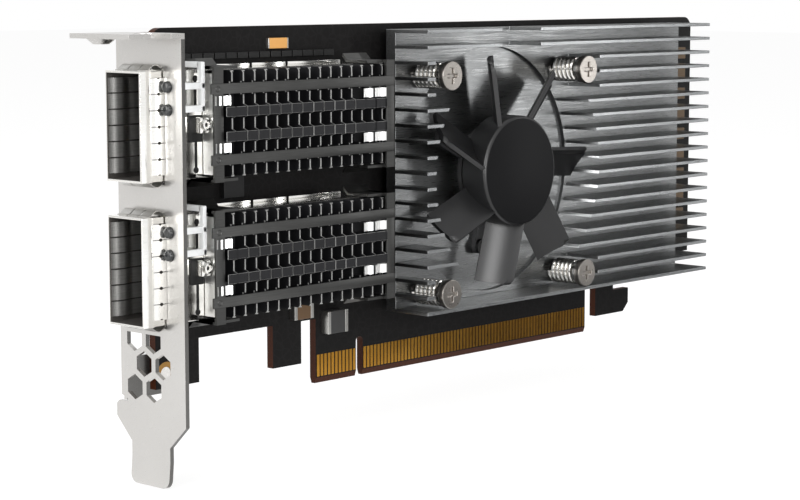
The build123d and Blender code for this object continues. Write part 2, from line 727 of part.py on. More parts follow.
def rider_fin_outline(z, plain, under_bar, under_leg):
    """One fin seen along X: channels for the rails and bands that stand a little higher.
    The plain fins near the ends are cut away beside the bands, to leave room for the clip's
    arms. The two end fins are lower between the rails, to pass under the clip's bars, and the
    fins that a leg of the clip crosses are lower outside the rails."""
    half = RIDER_HEIGHT / 2
    room = RAIL_WIDTH / 2 + RAIL_SIDE_CLEARANCE
    shape = pane(RIDER_FIN_FRONT, RIDER_FACE, z - half, z + half)
    if under_bar:
        shape -= pane(RIDER_BAND_FRONT - 1, RAIL_CHANNEL, z - RAIL_OFFSET, z + RAIL_OFFSET)
    for way in (-1, 1):
        band = z + way * RIDER_BAND_OFFSET
        rail = z + way * RAIL_OFFSET
        if not under_bar:
            shape += pane(RIDER_BAND_FRONT, RIDER_FACE, band - RIDER_BAND_WIDTH / 2,
                          band + RIDER_BAND_WIDTH / 2)
        shape -= pane(RIDER_BAND_FRONT - 1, RAIL_CHANNEL, rail - room, rail + room)
        if under_leg:
            near, far = sorted((rail, z + way * (half + 1)))
            shape -= pane(RIDER_BAND_FRONT - 1, RAIL_CHANNEL, near, far)
        if plain:
            near, far = sorted((band + way * RIDER_BAND_WIDTH / 2, rail - way * room))
            shape -= pane(RIDER_BAND_FRONT - 1, RIDER_FACE, near, far)
    return shape


def rider_fin_places():
    return [RIDER_FIRST_FIN + i * RIDER_FIN_PITCH for i in range(RIDER_FIN_COUNT)]


def clip_leg_places():
    """Left edges of the clip's legs on each rail."""
    return RAIL_LEFT + CLIP_LEG_INSET, RAIL_RIGHT - CLIP_LEG_INSET - CLIP_LEG_WIDTH


def under_clip_leg(x):
    """Whether the fin at this place lies under a leg of the clip, clearance included."""
    half = RIDER_FIN_THICKNESS / 2 + RAIL_SIDE_CLEARANCE
    return any(left - half < x < left + CLIP_LEG_WIDTH + half for left in clip_leg_places())


def band_spans():
    """Ends in X of the flanges that close each band: wide ones at the ends, then one a fin."""
    places = rider_fin_places()
    half = RIDER_FIN_THICKNESS / 2
    first = RIDER_PLAIN_LEFT_COUNT
    last = RIDER_FIN_COUNT - 1 - RIDER_PLAIN_RIGHT_COUNT
    left = RAIL_LEFT + RAIL_MARGIN + CLIP_BAR_WIDTH + RAIL_SIDE_CLEARANCE
    right = RAIL_RIGHT - CLIP_BAR_WIDTH - RAIL_SIDE_CLEARANCE
    spans = [(left, places[first] - half - RIDER_BAND_SEAM)]
    for i in range(first, last):
        spans.append((places[i] - half, places[i + 1] - half - RIDER_BAND_SEAM))
    return spans + [(places[last] - half, right)]


def cage_heatsink(z):
    """Finned plate that rests on the cage, with a foot that reaches through its window."""
    half = RIDER_HEIGHT / 2
    body = block(RIDER_LEFT, RIDER_RIGHT, RIDER_FACE, CAGE_TOP, z - half, z + half)
    foot = CAGE_WINDOW_HEIGHT / 2 - RIDER_FOOT_CLEARANCE
    body += block(CAGE_WINDOW_FRONT + RIDER_FOOT_CLEARANCE,
                  CAGE_WINDOW_FRONT + CAGE_WINDOW_LENGTH - RIDER_FOOT_CLEARANCE,
                  CAGE_TOP, CAGE_TOP + CAGE_WALL + RIDER_FOOT, z - foot, z + foot)
    parts = []
    last = RIDER_FIN_COUNT - 1
    for i, x in enumerate(rider_fin_places()):
        plain = i < RIDER_PLAIN_LEFT_COUNT or i > last - RIDER_PLAIN_RIGHT_COUNT
        fin = rider_fin_outline(z, plain, i in (0, last), under_clip_leg(x))
        parts.append(across(fin, x - RIDER_FIN_THICKNESS / 2, x + RIDER_FIN_THICKNESS / 2))
    for way in (-1, 1):
        band = z + way * RIDER_BAND_OFFSET
        for left, right in band_spans():
            parts.append(block(left, right, RIDER_BAND_FRONT, RIDER_BAND_FRONT + RIDER_BAND_SHEET,
                               band - RIDER_BAND_WIDTH / 2, band + RIDER_BAND_WIDTH / 2))
    return body + parts


def heatsink_clip(z):
    """Spring steel frame: two rails and two bars over the fins, four arms that reach down
    between the end fins, and four hooked legs beside the cage."""
    left = RAIL_LEFT + RAIL_MARGIN
    outer = RAIL_OFFSET + RAIL_WIDTH / 2
    body = block(left, left + CLIP_BAR_WIDTH, -RAIL_FACE, RAIL_BACK, z - outer, z + outer)
    body += block(RAIL_RIGHT - CLIP_BAR_WIDTH, RAIL_RIGHT, -RAIL_FACE, RAIL_BACK,
                  z - outer, z + outer)
    for way in (-1, 1):
        rail = z + way * RAIL_OFFSET
        body += block(RAIL_LEFT, RAIL_RIGHT, -RAIL_FACE, RAIL_BACK,
                      rail - RAIL_WIDTH / 2, rail + RAIL_WIDTH / 2)
        body += clip_arm(left + CLIP_BAR_WIDTH, CLIP_LEFT_ARM, z, way)
        body += clip_arm(RAIL_RIGHT - CLIP_BAR_WIDTH, -CLIP_RIGHT_ARM, z, way)
        for x in clip_leg_places():
            body += clip_leg(x, z, way)
    return body


def clip_arm(root, reach, z, way):
    """Bowed arm from the edge of a bar toward the base of the heatsink, between the end fins."""
    inner = RIDER_BAND_OFFSET + RIDER_BAND_WIDTH / 2 + CLIP_ARM_SIDE_GAP
    outer = RAIL_OFFSET - RAIL_WIDTH / 2 - RAIL_SIDE_CLEARANCE - CLIP_ARM_SIDE_GAP
    low, high = sorted((z + way * inner, z + way * outer))
    face = -RAIL_FACE
    line = [(0, 0), (reach * 0.45, CLIP_ARM_DROP * 0.7), (reach * 0.75, CLIP_ARM_DROP),
            (reach, CLIP_ARM_DROP * 0.85)]
    front = [(root + x, face + y) for x, y in line]
    back = [(x, y + CLIP_ARM_SHEET) for x, y in reversed(front)]
    return upright(outline(*front, *back), low, high)


def clip_leg(x, z, way):
    """Strip from a rail over the side of the heatsink and down beside the cage wall, with a
    foot that flares out."""
    near = -RAIL_FACE
    far = -RAIL_FACE + CLIP_LEG_DROP
    side = z + way * (CAGE_HEIGHT / 2 + CLIP_LEG_CLEARANCE)
    sheet = way * RAIL_THICKNESS
    leg = outline(
        (near, z + way * RAIL_OFFSET), (near, side + sheet), (far, side + sheet),
        (far + CLIP_FLARE, side + sheet + way * CLIP_FLARE),
        (far + CLIP_FLARE + RAIL_THICKNESS / 2, side + sheet + way * (CLIP_FLARE - RAIL_THICKNESS)),
        (far + RAIL_THICKNESS / 2, side), (RAIL_BACK, side), (RAIL_BACK, z + way * RAIL_OFFSET),
    )
    return across(leg, x, x + CLIP_LEG_WIDTH)


# Main heatsink and the processor under it

def sink_fin_places():
    return [SINK_TOP_FIN - i * SINK_FIN_PITCH for i in range(SINK_FIN_COUNT)]


def sink_cuts():
    """Everything milled out of the fins: the round fan pocket, the screw lanes and a top notch."""
    columns = [x for x, z in SCREW_PLACES]
    rows = [z for x, z in SCREW_PLACES]
    coil = SPRING_DIAMETER / 2
    left = min(columns) - coil - LANE_END_MARGIN
    right = max(columns) + coil + LANE_END_MARGIN
    shape = disc(FAN_X, FAN_Z, POCKET_RADIUS)
    for z, margin in ((max(rows), UPPER_LANE_BOTTOM_MARGIN), (min(rows), LOWER_LANE_BOTTOM_MARGIN)):
        shape += pane(left, right, z - coil - margin, z + coil + LANE_TOP_MARGIN)
    shape += pane(TOP_NOTCH_LEFT, TOP_NOTCH_LEFT + TOP_NOTCH_LENGTH, FAN_Z, SINK_TOP + 1)
    return facing(shape, SINK_FRONT - 1, SINK_FACE)


def main_heatsink():
    body = block(SINK_LEFT, SINK_RIGHT, SINK_FACE, SINK_BACK, SINK_BOTTOM, SINK_TOP)
    body -= pin(FAN_X, FAN_Z, POCKET_FLOOR_RADIUS, SINK_FRONT, POCKET_FLOOR)
    fins = []
    half = SINK_FIN_THICKNESS / 2
    cuts = sink_cuts()
    for z in sink_fin_places():
        fins.append(block(SINK_LEFT, SINK_RIGHT, SINK_FRONT, SINK_FACE, z - half, z + half) - cuts)
    body += fins
    for x, z in SCREW_PLACES:
        body -= pin(x, z, SINK_SCREW_SHANK_DIAMETER / 2 + HOLE_CLEARANCE, SINK_FRONT, 0)
    for angle in FAN_SCREW_ANGLES:
        x, z = fan_point(FAN_SCREW_RADIUS, angle)
        body -= pin(x, z, FAN_SCREW_DIAMETER / 2 + FIT, SINK_FRONT, POCKET_FLOOR + FAN_SCREW_GRIP)
    return body


def network_chip():
    """Processor package: thin substrate with a metal lid."""
    cx, cz = SINK_SCREW_CENTRE
    substrate = facing(Pos(cx, cz) * Rectangle(CHIP_SIZE, CHIP_SIZE), -SUBSTRATE_THICKNESS, 0)
    lid = facing(Pos(cx, cz) * Rectangle(LID_SIZE, LID_SIZE), -CHIP_THICKNESS, -SUBSTRATE_THICKNESS)
    return substrate + lid


def thermal_pad():
    cx, cz = SINK_SCREW_CENTRE
    return facing(Pos(cx, cz) * Rectangle(PAD_SIZE, PAD_SIZE), SINK_BACK, -CHIP_THICKNESS)


# Captive screws of the main heatsink

def screw_head_face():
    return SINK_FRONT - SINK_SCREW_HEAD_PROUD


def captive_screw(x, z):
    """Shoulder screw: wide thin head, plain shank through the base, thinner thread."""
    face = screw_head_face()
    under = face + SINK_SCREW_HEAD_HEIGHT
    neck = SINK_BACK + RETAINER_GAP
    body = pin(x, z, SINK_SCREW_HEAD_DIAMETER / 2, face, under)
    body += pin(x, z, SINK_SCREW_SHANK_DIAMETER / 2, under, neck)
    body += pin(x, z, SINK_SCREW_THREAD_DIAMETER / 2, neck, BOARD_THICKNESS + NUT_HEIGHT)
    return body - cross_recess(x, z, face)


def cross_recess(x, z, face):
    """Cross-shaped driver recess in the front face of a screw head."""
    shape = Pos(x, z) * Rectangle(CROSS_LENGTH, CROSS_WIDTH)
    shape += Pos(x, z) * Rectangle(CROSS_WIDTH, CROSS_LENGTH)
    return facing(shape, face - 1, face + CROSS_DEPTH)


def screw_spring(x, z):
    """Coil spring held between the screw's head and the heatsink base."""
    radius = (SPRING_DIAMETER - SPRING_WIRE) / 2
    room = SPRING_WIRE / 2 + SPRING_END_CLEARANCE
    start = screw_head_face() + SINK_SCREW_HEAD_HEIGHT + room
    height = SINK_FACE - room - start
    steps = round(SPRING_TURNS * SPRING_CHORDS)
    path = Polyline(*[
        (x + radius * cos(2 * pi * i / SPRING_CHORDS), start + height * i / steps,
         z + radius * sin(2 * pi * i / SPRING_CHORDS))
        for i in range(steps + 1)
    ])
    wire = Plane(origin=path @ 0, z_dir=path % 0) * Rectangle(SPRING_WIRE, SPRING_WIRE)
    return sweep(wire, path=path, transition=Transition.RIGHT)


def screw_retainer(x, z):
    """Ring on the thread just behind the base, which keeps the screw from falling out."""
    near = SINK_BACK + RETAINER_GAP
    return tube(x, z, RETAINER_DIAMETER / 2, SINK_SCREW_THREAD_DIAMETER / 2 + FIT, near,
                near + RETAINER_THICKNESS)


def standoff_nut(x, z):
    """Hexagonal nut soldered to the solder side of the board."""
    hexagon = Pos(x, z) * RegularPolygon(NUT_WIDTH / 2, 6, major_radius=False)
    hole = disc(x, z, SINK_SCREW_THREAD_DIAMETER / 2 + THREAD_CLEARANCE)
    return facing(hexagon - hole, BOARD_THICKNESS, BOARD_THICKNESS + NUT_HEIGHT)


# Fan

def fan_point(radius, angle):
    """Point on a circle round the fan's axis, measured from +X toward +Z."""
    return FAN_X + radius * cos(radians(angle)), FAN_Z + radius * sin(radians(angle))


def blade_section(radius, lead, trail):
    """Flat blade section on the plane that faces outward at one radius."""
    middle = (lead + trail) / 2
    swing = radius * sin(radians(lead - trail) / 2)
    x, z = fan_point(radius, middle)
    out = (cos(radians(middle)), 0, sin(radians(middle)))
    along = (-sin(radians(middle)), 0, cos(radians(middle)))
    depth = (BLADE_BACK - BLADE_FRONT) / 2
    tilt = degrees(atan2(depth, swing))
    length = 2 * hypot(depth, swing)
    plane = Plane(origin=(x, (BLADE_FRONT + BLADE_BACK) / 2, z), x_dir=along, z_dir=out)
    return plane * (Rot(0, 0, tilt) * Rectangle(length, BLADE_THICKNESS))


def blade(angle):
    """Straight blade lofted from inside the hub wall to past the tip circle."""
    hub = HUB_DIAMETER / 2
    root = blade_section(hub - HUB_WALL / 2, angle + BLADE_ROOT_LEAD, angle + BLADE_ROOT_TRAIL)
    tip = blade_section(BLADE_TIP_RADIUS + 1, angle, angle + BLADE_TIP_TRAIL)
    solid = loft([root, tip], ruled=True)
    return solid & pin(FAN_X, FAN_Z, BLADE_TIP_RADIUS, HUB_FRONT, SINK_FACE)


def fan_rotor():
    """Hub cup, open toward the board, with seven flat blades set at an angle."""
    outer = HUB_DIAMETER / 2
    hub = pin(FAN_X, FAN_Z, outer, HUB_FRONT, HUB_FRONT + HUB_DEPTH)
    rim = hub.edges().filter_by(GeomType.CIRCLE).sort_by(Axis.Y)[0]
    hub = chamfer(rim, HUB_EDGE)
    for i in range(BLADE_COUNT):
        hub += blade(BLADE_FIRST_ANGLE + i * 360 / BLADE_COUNT)
    hub -= pin(FAN_X, FAN_Z, outer - HUB_WALL, HUB_FRONT + HUB_WALL, SINK_FACE)
    hub += pin(FAN_X, FAN_Z, SHAFT_BOSS_RADIUS, HUB_FRONT + HUB_WALL / 2,
               HUB_FRONT + HUB_WALL + SHAFT_BOSS_LENGTH)
    return hub - pin(FAN_X, FAN_Z, SHAFT_DIAMETER / 2, HUB_FRONT + HUB_WALL, SINK_FACE)


def fan_magnet_ring():
    outer = HUB_DIAMETER / 2 - HUB_WALL - FIT
    near = magnet_near()
    return tube(FAN_X, FAN_Z, outer, outer - MAGNET_THICKNESS, near, near + MAGNET_LENGTH)


def magnet_near():
    return HUB_FRONT + HUB_DEPTH - MAGNET_LENGTH - HUB_EDGE


def shaft_end():
    """Rear end of the shaft, just short of the closed end of the bearing tube."""
    return POCKET_FLOOR - TUBE_FLOOR - 2 * CLIP_RING_THICKNESS


def fan_shaft():
    return pin(FAN_X, FAN_Z, SHAFT_DIAMETER / 2, HUB_FRONT + HUB_WALL, shaft_end())


def fan_shaft_clip():
    """Push-on ring near the end of the shaft, which keeps the rotor from being pulled off."""
    near = shaft_end() - 3 * CLIP_RING_THICKNESS
    return tube(FAN_X, FAN_Z, CLIP_RING_RADIUS, SHAFT_DIAMETER / 2 + FIT, near,
                near + CLIP_RING_THICKNESS)


def tube_end():
    return POCKET_FLOOR - FAN_PLATE_THICKNESS - TUBE_LENGTH


def fan_bearing():
    """Sleeve bearing pressed into the tube of the fan base."""
    near = tube_end() + FIT
    return tube(FAN_X, FAN_Z, TUBE_RADIUS - TUBE_WALL - FIT, SHAFT_DIAMETER / 2 + SHAFT_CLEARANCE,
                near, near + BEARING_LENGTH)


def fan_base():
    """Plate with three arms and the tube that carries the bearing and the stator."""
    plate = disc(FAN_X, FAN_Z, FAN_PLATE_RADIUS)
    for angle in FAN_SCREW_ANGLES:
        x, z = fan_point(FAN_SCREW_RADIUS / 2, angle)
        plate += Pos(x, z) * Rot(0, 0, angle) * Rectangle(FAN_SCREW_RADIUS, FAN_ARM_WIDTH)
        plate += disc(*fan_point(FAN_SCREW_RADIUS, angle), FAN_SCREW_HEAD_DIAMETER / 2)
    face = POCKET_FLOOR - FAN_PLATE_THICKNESS
    body = facing(plate, face, POCKET_FLOOR)
    body += pin(FAN_X, FAN_Z, TUBE_RADIUS, tube_end(), face)
    body -= pin(FAN_X, FAN_Z, TUBE_RADIUS - TUBE_WALL, tube_end() - 1, POCKET_FLOOR - TUBE_FLOOR)
    for angle in FAN_SCREW_ANGLES:
        x, z = fan_point(FAN_SCREW_RADIUS, angle)
        body -= pin(x, z, FAN_SCREW_DIAMETER / 2 + FIT, face - 1, POCKET_FLOOR + 1)
    return body


def fan_screw(angle):
    x, z = fan_point(FAN_SCREW_RADIUS, angle)
    face = POCKET_FLOOR - FAN_PLATE_THICKNESS
    body = pin(x, z, FAN_SCREW_HEAD_DIAMETER / 2, face - FAN_SCREW_HEAD_HEIGHT, face)
    return body + pin(x, z, FAN_SCREW_DIAMETER / 2, face, POCKET_FLOOR + FAN_SCREW_GRIP - FIT)


def stator_near():
    """Front face of the stator core, centred on the magnet ring."""
    return magnet_near() + (MAGNET_LENGTH - STATOR_THICKNESS) / 2


def stator_radius():
    return HUB_DIAMETER / 2 - HUB_WALL - FIT - MAGNET_THICKNESS - AIR_GAP


def stator_tooth(angle):
    """One tooth with its curved shoe."""
    radius = stator_radius()
    arm = Pos(FAN_X, FAN_Z) * Rot(0, 0, angle) * pane(TUBE_RADIUS + FIT, radius - STATOR_SHOE / 2,
                                                     -STATOR_TOOTH_WIDTH / 2,
                                                     STATOR_TOOTH_WIDTH / 2)
    ring = disc(FAN_X, FAN_Z, radius) - disc(FAN_X, FAN_Z, radius - STATOR_SHOE)
    reach = 2 * radius
    spread = radians(STATOR_SHOE_ANGLE / 2)
    wedge = outline((0, 0), (reach * cos(spread), -reach * sin(spread)),
                    (reach * cos(spread), reach * sin(spread)))
    return arm + (ring & (Pos(FAN_X, FAN_Z) * Rot(0, 0, angle) * wedge))


def stator_angles():
    return [45 + i * 360 / STATOR_TEETH for i in range(STATOR_TEETH)]


def fan_stator_core():
    inner = TUBE_RADIUS + FIT
    shape = disc(FAN_X, FAN_Z, inner + STATOR_RING)
    for angle in stator_angles():
        shape += stator_tooth(angle)
    shape -= disc(FAN_X, FAN_Z, inner)
    return facing(shape, stator_near(), stator_near() + STATOR_THICKNESS)


def fan_coil(angle):
    """Copper winding round one tooth."""
    inner = TUBE_RADIUS + FIT + STATOR_RING + FIT
    wide = STATOR_TOOTH_WIDTH / 2 + COIL_THICKNESS
    outer = ((stator_radius() - STATOR_SHOE - FIT) ** 2 - wide ** 2) ** 0.5
    near = stator_near() - COIL_THICKNESS
    far = stator_near() + STATOR_THICKNESS + COIL_THICKNESS
    place = Pos(FAN_X, FAN_Z) * Rot(0, 0, angle)
    tooth = STATOR_TOOTH_WIDTH / 2 + FIT
    body = facing(place * pane(inner, outer, -wide, wide), near, far)
    hole = facing(place * pane(inner - 1, outer + 1, -tooth, tooth), stator_near() - FIT,
                  stator_near() + STATOR_THICKNESS + FIT)
    return body - hole


def fan_circuit():
    """Small ring-shaped circuit board on the fan base."""
    face = POCKET_FLOOR - FAN_PLATE_THICKNESS
    return tube(FAN_X, FAN_Z, FAN_CIRCUIT_RADIUS, TUBE_RADIUS + FIT,
                face - FAN_CIRCUIT_THICKNESS, face)


# Small parts on the board

def chip_at(x, z, size):
    """Plain rectangular part standing on the component face."""
    length, height, thickness = size
    return block(x - length / 2, x + length / 2, -thickness, 0, z - height / 2, z + height / 2)


def capped_part(x, z, size, cap=END_CAP):
    """Ceramic body and its two metal end caps."""
    length, height, thickness = size
    body = chip_at(x, z, (length - 2 * cap, height, thickness))
    caps = []
    for way in (-1, 1):
        middle = x + way * (length - cap) / 2
        caps.append(chip_at(middle, z, (cap, height, thickness)))
    return body, caps


def row_height():
    """Z of the row of small capacitors just above the upper cage."""
    return PORT_UPPER_Z + CAGE_HEIGHT / 2 + ROW_GAP + ROW_PART[1] / 2


def row_places():
    return [(ROW_START + i * ROW_PITCH, row_height()) for i in range(ROW_COUNT)]


def rear_places():
    return [(REAR_PART_X, REAR_PART_START + i * REAR_PART_PITCH) for i in range(REAR_PART_COUNT)]


def write_small_parts():
    between_cages = PORT_UPPER_Z - PORT_PITCH / 2
    flash_height = PORT_PITCH - CAGE_HEIGHT - 2 * FLASH_CHIP_GAP
    large_z = row_height() + (ROW_PART[1] + LARGE_CAPACITOR[1]) / 2 + LARGE_CAPACITOR_GAP
    yellow, yellow_caps = capped_part(LARGE_CAPACITOR_X, large_z, LARGE_CAPACITOR,
                                      LARGE_CAPACITOR_CAP)
    below = PORT_UPPER_Z - PORT_PITCH - CAGE_HEIGHT / 2
    brown_z = below - BROWN_CAPACITOR_GAP - BROWN_CAPACITOR[1] / 2
    choke_z = below - CHIP_CHOKE_GAP - CHIP_CHOKE[1] / 2
    brown, brown_caps = capped_part(BROWN_CAPACITOR_X, brown_z, BROWN_CAPACITOR)
    choke, choke_caps = capped_part(CHIP_CHOKE_X, choke_z, CHIP_CHOKE)
    save("tantalum_capacitors", yellow, brown)
    save("chip_choke", choke)
    save("metal_end_caps", *yellow_caps, *brown_caps, *choke_caps)
    save("small_capacitors", *[chip_at(x, z, ROW_PART) for x, z in row_places()])
    save("rear_capacitors", *[chip_at(x, z, REAR_PART) for x, z in rear_places()])
    save("flash_chip", chip_at(FLASH_CHIP_X, between_cages,
                               (FLASH_CHIP_LENGTH, flash_height, FLASH_CHIP_THICKNESS)))
    save("crystal", chip_at(CRYSTAL_X, between_cages, CRYSTAL))


# Every node is written to its own file

def write_board():
    save("circuit_board", circuit_board())
    save("edge_contacts", *edge_contacts())
    save("bracket", bracket())
    save("bracket_inserts", *[bracket_insert(z) for z in EAR_PLACES])
    save("bracket_screws", *[bracket_screw(z) for z in EAR_PLACES])


def write_ports():
    pipes = []
    lamps = []
    for name, z in PORT_PLACES:
        save(f"port_cage_{name}", cage(z))
        save(f"cage_fingers_{name}", cage_fingers(z))
        save(f"port_connector_{name}", port_connector(z))
        save(f"port_contacts_{name}", *port_contacts(z))
        save(f"cage_heatsink_{name}", cage_heatsink(z))
        save(f"heatsink_clip_{name}", heatsink_clip(z))
        pipes.append(light_pipe(z))
        lamps += status_lamps(z)
    save("light_pipes", *pipes)
    save("status_lamps", *lamps)


def write_cooler():
    save("main_heatsink", main_heatsink())
    save("thermal_pad", thermal_pad())
    save("network_chip", network_chip())
    save("captive_screws", *[captive_screw(x, z) for x, z in SCREW_PLACES])
    save("screw_springs", *[screw_spring(x, z) for x, z in SCREW_PLACES])
    save("screw_retainers", *[screw_retainer(x, z) for x, z in SCREW_PLACES])
    save("standoff_nuts", *[standoff_nut(x, z) for x, z in SCREW_PLACES])


def write_fan():
    save("fan_rotor", fan_rotor())
    save("fan_magnet_ring", fan_magnet_ring())
    save("fan_shaft", fan_shaft())
    save("fan_shaft_clip", fan_shaft_clip())
    save("fan_bearing", fan_bearing())
    save("fan_base", fan_base())
    save("fan_screws", *[fan_screw(angle) for angle in FAN_SCREW_ANGLES])
    save("fan_stator_core", fan_stator_core())
    save("fan_coils", *[fan_coil(angle) for angle in stator_angles()])
    save("fan_circuit", fan_circuit())


os.makedirs("parts", exist_ok=True)
write_board()
write_ports()
write_cooler()
write_fan()
write_small_parts()
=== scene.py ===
from math import cos, pi, radians, sin, tau

import bmesh
import bpy
from mathutils import Matrix, Vector


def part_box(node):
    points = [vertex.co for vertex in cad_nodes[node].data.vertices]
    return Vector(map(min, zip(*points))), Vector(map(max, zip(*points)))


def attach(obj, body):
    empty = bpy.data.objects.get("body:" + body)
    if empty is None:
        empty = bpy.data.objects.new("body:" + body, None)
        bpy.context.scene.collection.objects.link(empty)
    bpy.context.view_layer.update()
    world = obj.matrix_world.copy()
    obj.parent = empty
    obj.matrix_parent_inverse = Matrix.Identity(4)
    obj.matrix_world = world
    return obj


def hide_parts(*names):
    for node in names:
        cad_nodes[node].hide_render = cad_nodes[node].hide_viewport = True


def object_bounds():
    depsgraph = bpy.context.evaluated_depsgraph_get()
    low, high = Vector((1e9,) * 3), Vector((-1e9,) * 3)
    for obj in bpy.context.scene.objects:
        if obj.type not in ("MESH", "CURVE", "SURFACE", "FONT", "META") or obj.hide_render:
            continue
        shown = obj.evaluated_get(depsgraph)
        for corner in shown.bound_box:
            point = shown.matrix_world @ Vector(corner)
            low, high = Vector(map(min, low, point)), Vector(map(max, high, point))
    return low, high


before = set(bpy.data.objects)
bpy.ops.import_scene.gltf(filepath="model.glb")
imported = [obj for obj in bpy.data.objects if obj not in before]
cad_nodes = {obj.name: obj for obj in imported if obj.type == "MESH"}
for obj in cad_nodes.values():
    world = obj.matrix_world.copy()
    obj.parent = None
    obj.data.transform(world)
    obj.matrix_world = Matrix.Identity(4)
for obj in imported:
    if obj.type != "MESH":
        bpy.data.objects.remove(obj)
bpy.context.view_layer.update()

# Circuit board: glass-epoxy laminate under a black solder mask. The mask is satin and slightly
# wavy over the copper tracks, and the sawn edges show the brown laminate. Tracks and grain are
# drawn coarser than the real ones, which are too fine to show.

MM = 0.001
BOARD_MASK = "0E0D0D"
BOARD_TRACK = "141313"
BOARD_EDGE = "4A2412"
BOARD_EDGE_DARK = "241109"
TRACK_PITCH = 1.6 * MM
MASK_GRAIN = 0.25 * MM
LAMINATE_LAYER = 0.2 * MM
FLAT_FACE = 0.98
WELD_REACH = 0.002 * MM
FLAT_ANGLE = 0.01
HARD_ANGLE = 0.6


def colour(text):
    """sRGB hex to a linear colour with alpha."""
    shares = [int(text[i:i + 2], 16) / 255 for i in (0, 2, 4)]
    return [s / 12.92 if s <= 0.04045 else ((s + 0.055) / 1.055) ** 2.4 for s in shares] + [1.0]


def new_material(name):
    material = bpy.data.materials.new(name)
    material.use_nodes = True
    material.node_tree.nodes.clear()
    return material


def add(material, kind, sockets=None, **settings):
    """Adds a shader node with its settings. A socket takes a value, another node's output, or
    a node for its first output."""
    node = material.node_tree.nodes.new("ShaderNode" + kind)
    for name, value in settings.items():
        setattr(node, name, value)
    for name, value in (sockets or {}).items():
        if isinstance(value, bpy.types.Node):
            value = value.outputs[0]
        if isinstance(value, bpy.types.NodeSocket):
            material.node_tree.links.new(value, node.inputs[name])
        else:
            node.inputs[name].default_value = value
    return node


def show(material, shader):
    add(material, "OutputMaterial", {"Surface": shader})
    return material


def dress(node_name, material, edge=0.0, segments=2):
    """Gives a CAD node its material and, if asked, a small bevel along its hard edges."""
    node = cad_nodes[node_name]
    node.data.materials.clear()
    node.data.materials.append(material)
    if edge:
        weld = node.modifiers.new("weld", "WELD")
        weld.merge_threshold = WELD_REACH
        flat = node.modifiers.new("flat", "DECIMATE")
        flat.decimate_type = "DISSOLVE"
        flat.angle_limit = FLAT_ANGLE
        bevel = node.modifiers.new("edges", "BEVEL")
        bevel.width = edge
        bevel.segments = segments
        bevel.limit_method = "ANGLE"
        bevel.angle_limit = HARD_ANGLE


def solder_mask():
    """Black solder mask: satin, a shade lighter over the tracks, brown where the edge is sawn."""
    m = new_material("black_solder_mask")
    place = add(m, "TexCoord").outputs["Object"]
    flat = add(m, "Mapping", {"Vector": place, "Scale": (1 / TRACK_PITCH, 0.0, 1 / TRACK_PITCH)})
    tracks = add(m, "TexVoronoi", {"Vector": flat, "Scale": 1.0, "Randomness": 0.75},
                 feature="DISTANCE_TO_EDGE")
    lines = add(m, "MapRange", {"Value": tracks.outputs["Distance"], "From Min": 0.03,
                                "From Max": 0.09, "To Min": 1.0, "To Max": 0.0})
    shade = add(m, "Mix", {0: lines, 6: colour(BOARD_MASK), 7: colour(BOARD_TRACK)},
                data_type="RGBA")
    facing = add(m, "NewGeometry").outputs["Normal"]
    normal = add(m, "SeparateXYZ", {0: facing})
    across = add(m, "Math", {0: normal.outputs["Y"]}, operation="ABSOLUTE")
    sawn = add(m, "Math", {0: across, 1: FLAT_FACE}, operation="LESS_THAN")
    layers = add(m, "TexNoise", {"Vector": place, "Scale": 1 / LAMINATE_LAYER})
    laminate = add(m, "Mix", {0: layers, 6: colour(BOARD_EDGE_DARK), 7: colour(BOARD_EDGE)},
                   data_type="RGBA")
    base = add(m, "Mix", {0: sawn, 6: shade.outputs[2], 7: laminate.outputs[2]}, data_type="RGBA")
    grain = add(m, "TexNoise", {"Vector": place, "Scale": 1 / MASK_GRAIN, "Detail": 3.0})
    rough = add(m, "MapRange", {"Value": grain, "To Min": 0.38, "To Max": 0.56})
    relief = add(m, "Bump", {"Height": lines, "Strength": 0.1, "Distance": 0.03 * MM})
    return show(m, add(m, "BsdfPrincipled", {
        "Base Color": base.outputs[2], "Roughness": rough, "IOR": 1.5, "Specular IOR Level": 0.12,
        "Normal": relief}))


dress("circuit_board", solder_mask())

# Edge contacts: copper fingers plated with hard gold, wiped to a satin polish along the way the
# card is pushed in. The wipe lines are drawn wider than the real ones to show.

GOLD = "CF9A40"
GOLD_DARK = "A9782A"
WIPE_WIDTH = 0.12 * MM
CLOUD_SIZE = 9 * MM


def metal(name, light, dark, roughness, grain, stretch=(1, 1, 1), spread=0.12,
          relief=0.004 * MM):
    """Bare metal with lines drawn wider than the real ones: grain is their width in metres and
    stretch their length over that width along X, Y and Z."""
    m = new_material(name)
    place = add(m, "TexCoord").outputs["Object"]
    scale = tuple(1 / (grain * s) for s in stretch)
    lines = add(m, "Mapping", {"Vector": place, "Scale": scale})
    streaks = add(m, "TexNoise", {"Vector": lines, "Scale": 1.0, "Detail": 4.0, "Roughness": 0.6})
    clouds = add(m, "TexNoise", {"Vector": place, "Scale": 1 / CLOUD_SIZE, "Detail": 2.0})
    blend = add(m, "Math", {0: streaks, 1: clouds}, operation="MULTIPLY")
    tone = add(m, "MapRange", {"Value": blend, "From Min": 0.1, "From Max": 0.4})
    base = add(m, "Mix", {0: tone, 6: colour(dark), 7: colour(light)}, data_type="RGBA")
    rough = add(m, "MapRange", {"Value": streaks, "From Min": 0.25, "From Max": 0.75,
                                "To Min": roughness + spread, "To Max": roughness})
    bump = add(m, "Bump", {"Height": streaks, "Strength": 0.5, "Distance": relief})
    return show(m, add(m, "BsdfPrincipled", {
        "Base Color": base.outputs[2], "Metallic": 1.0, "Roughness": rough, "Normal": bump}))


# Hard gold is warm and satin, with fine upright lines where it is wiped.
gold = metal("hard_gold_plating", GOLD, GOLD_DARK, roughness=0.24, grain=WIPE_WIDTH,
             stretch=(1, 1, 20))
dress("edge_contacts", gold)

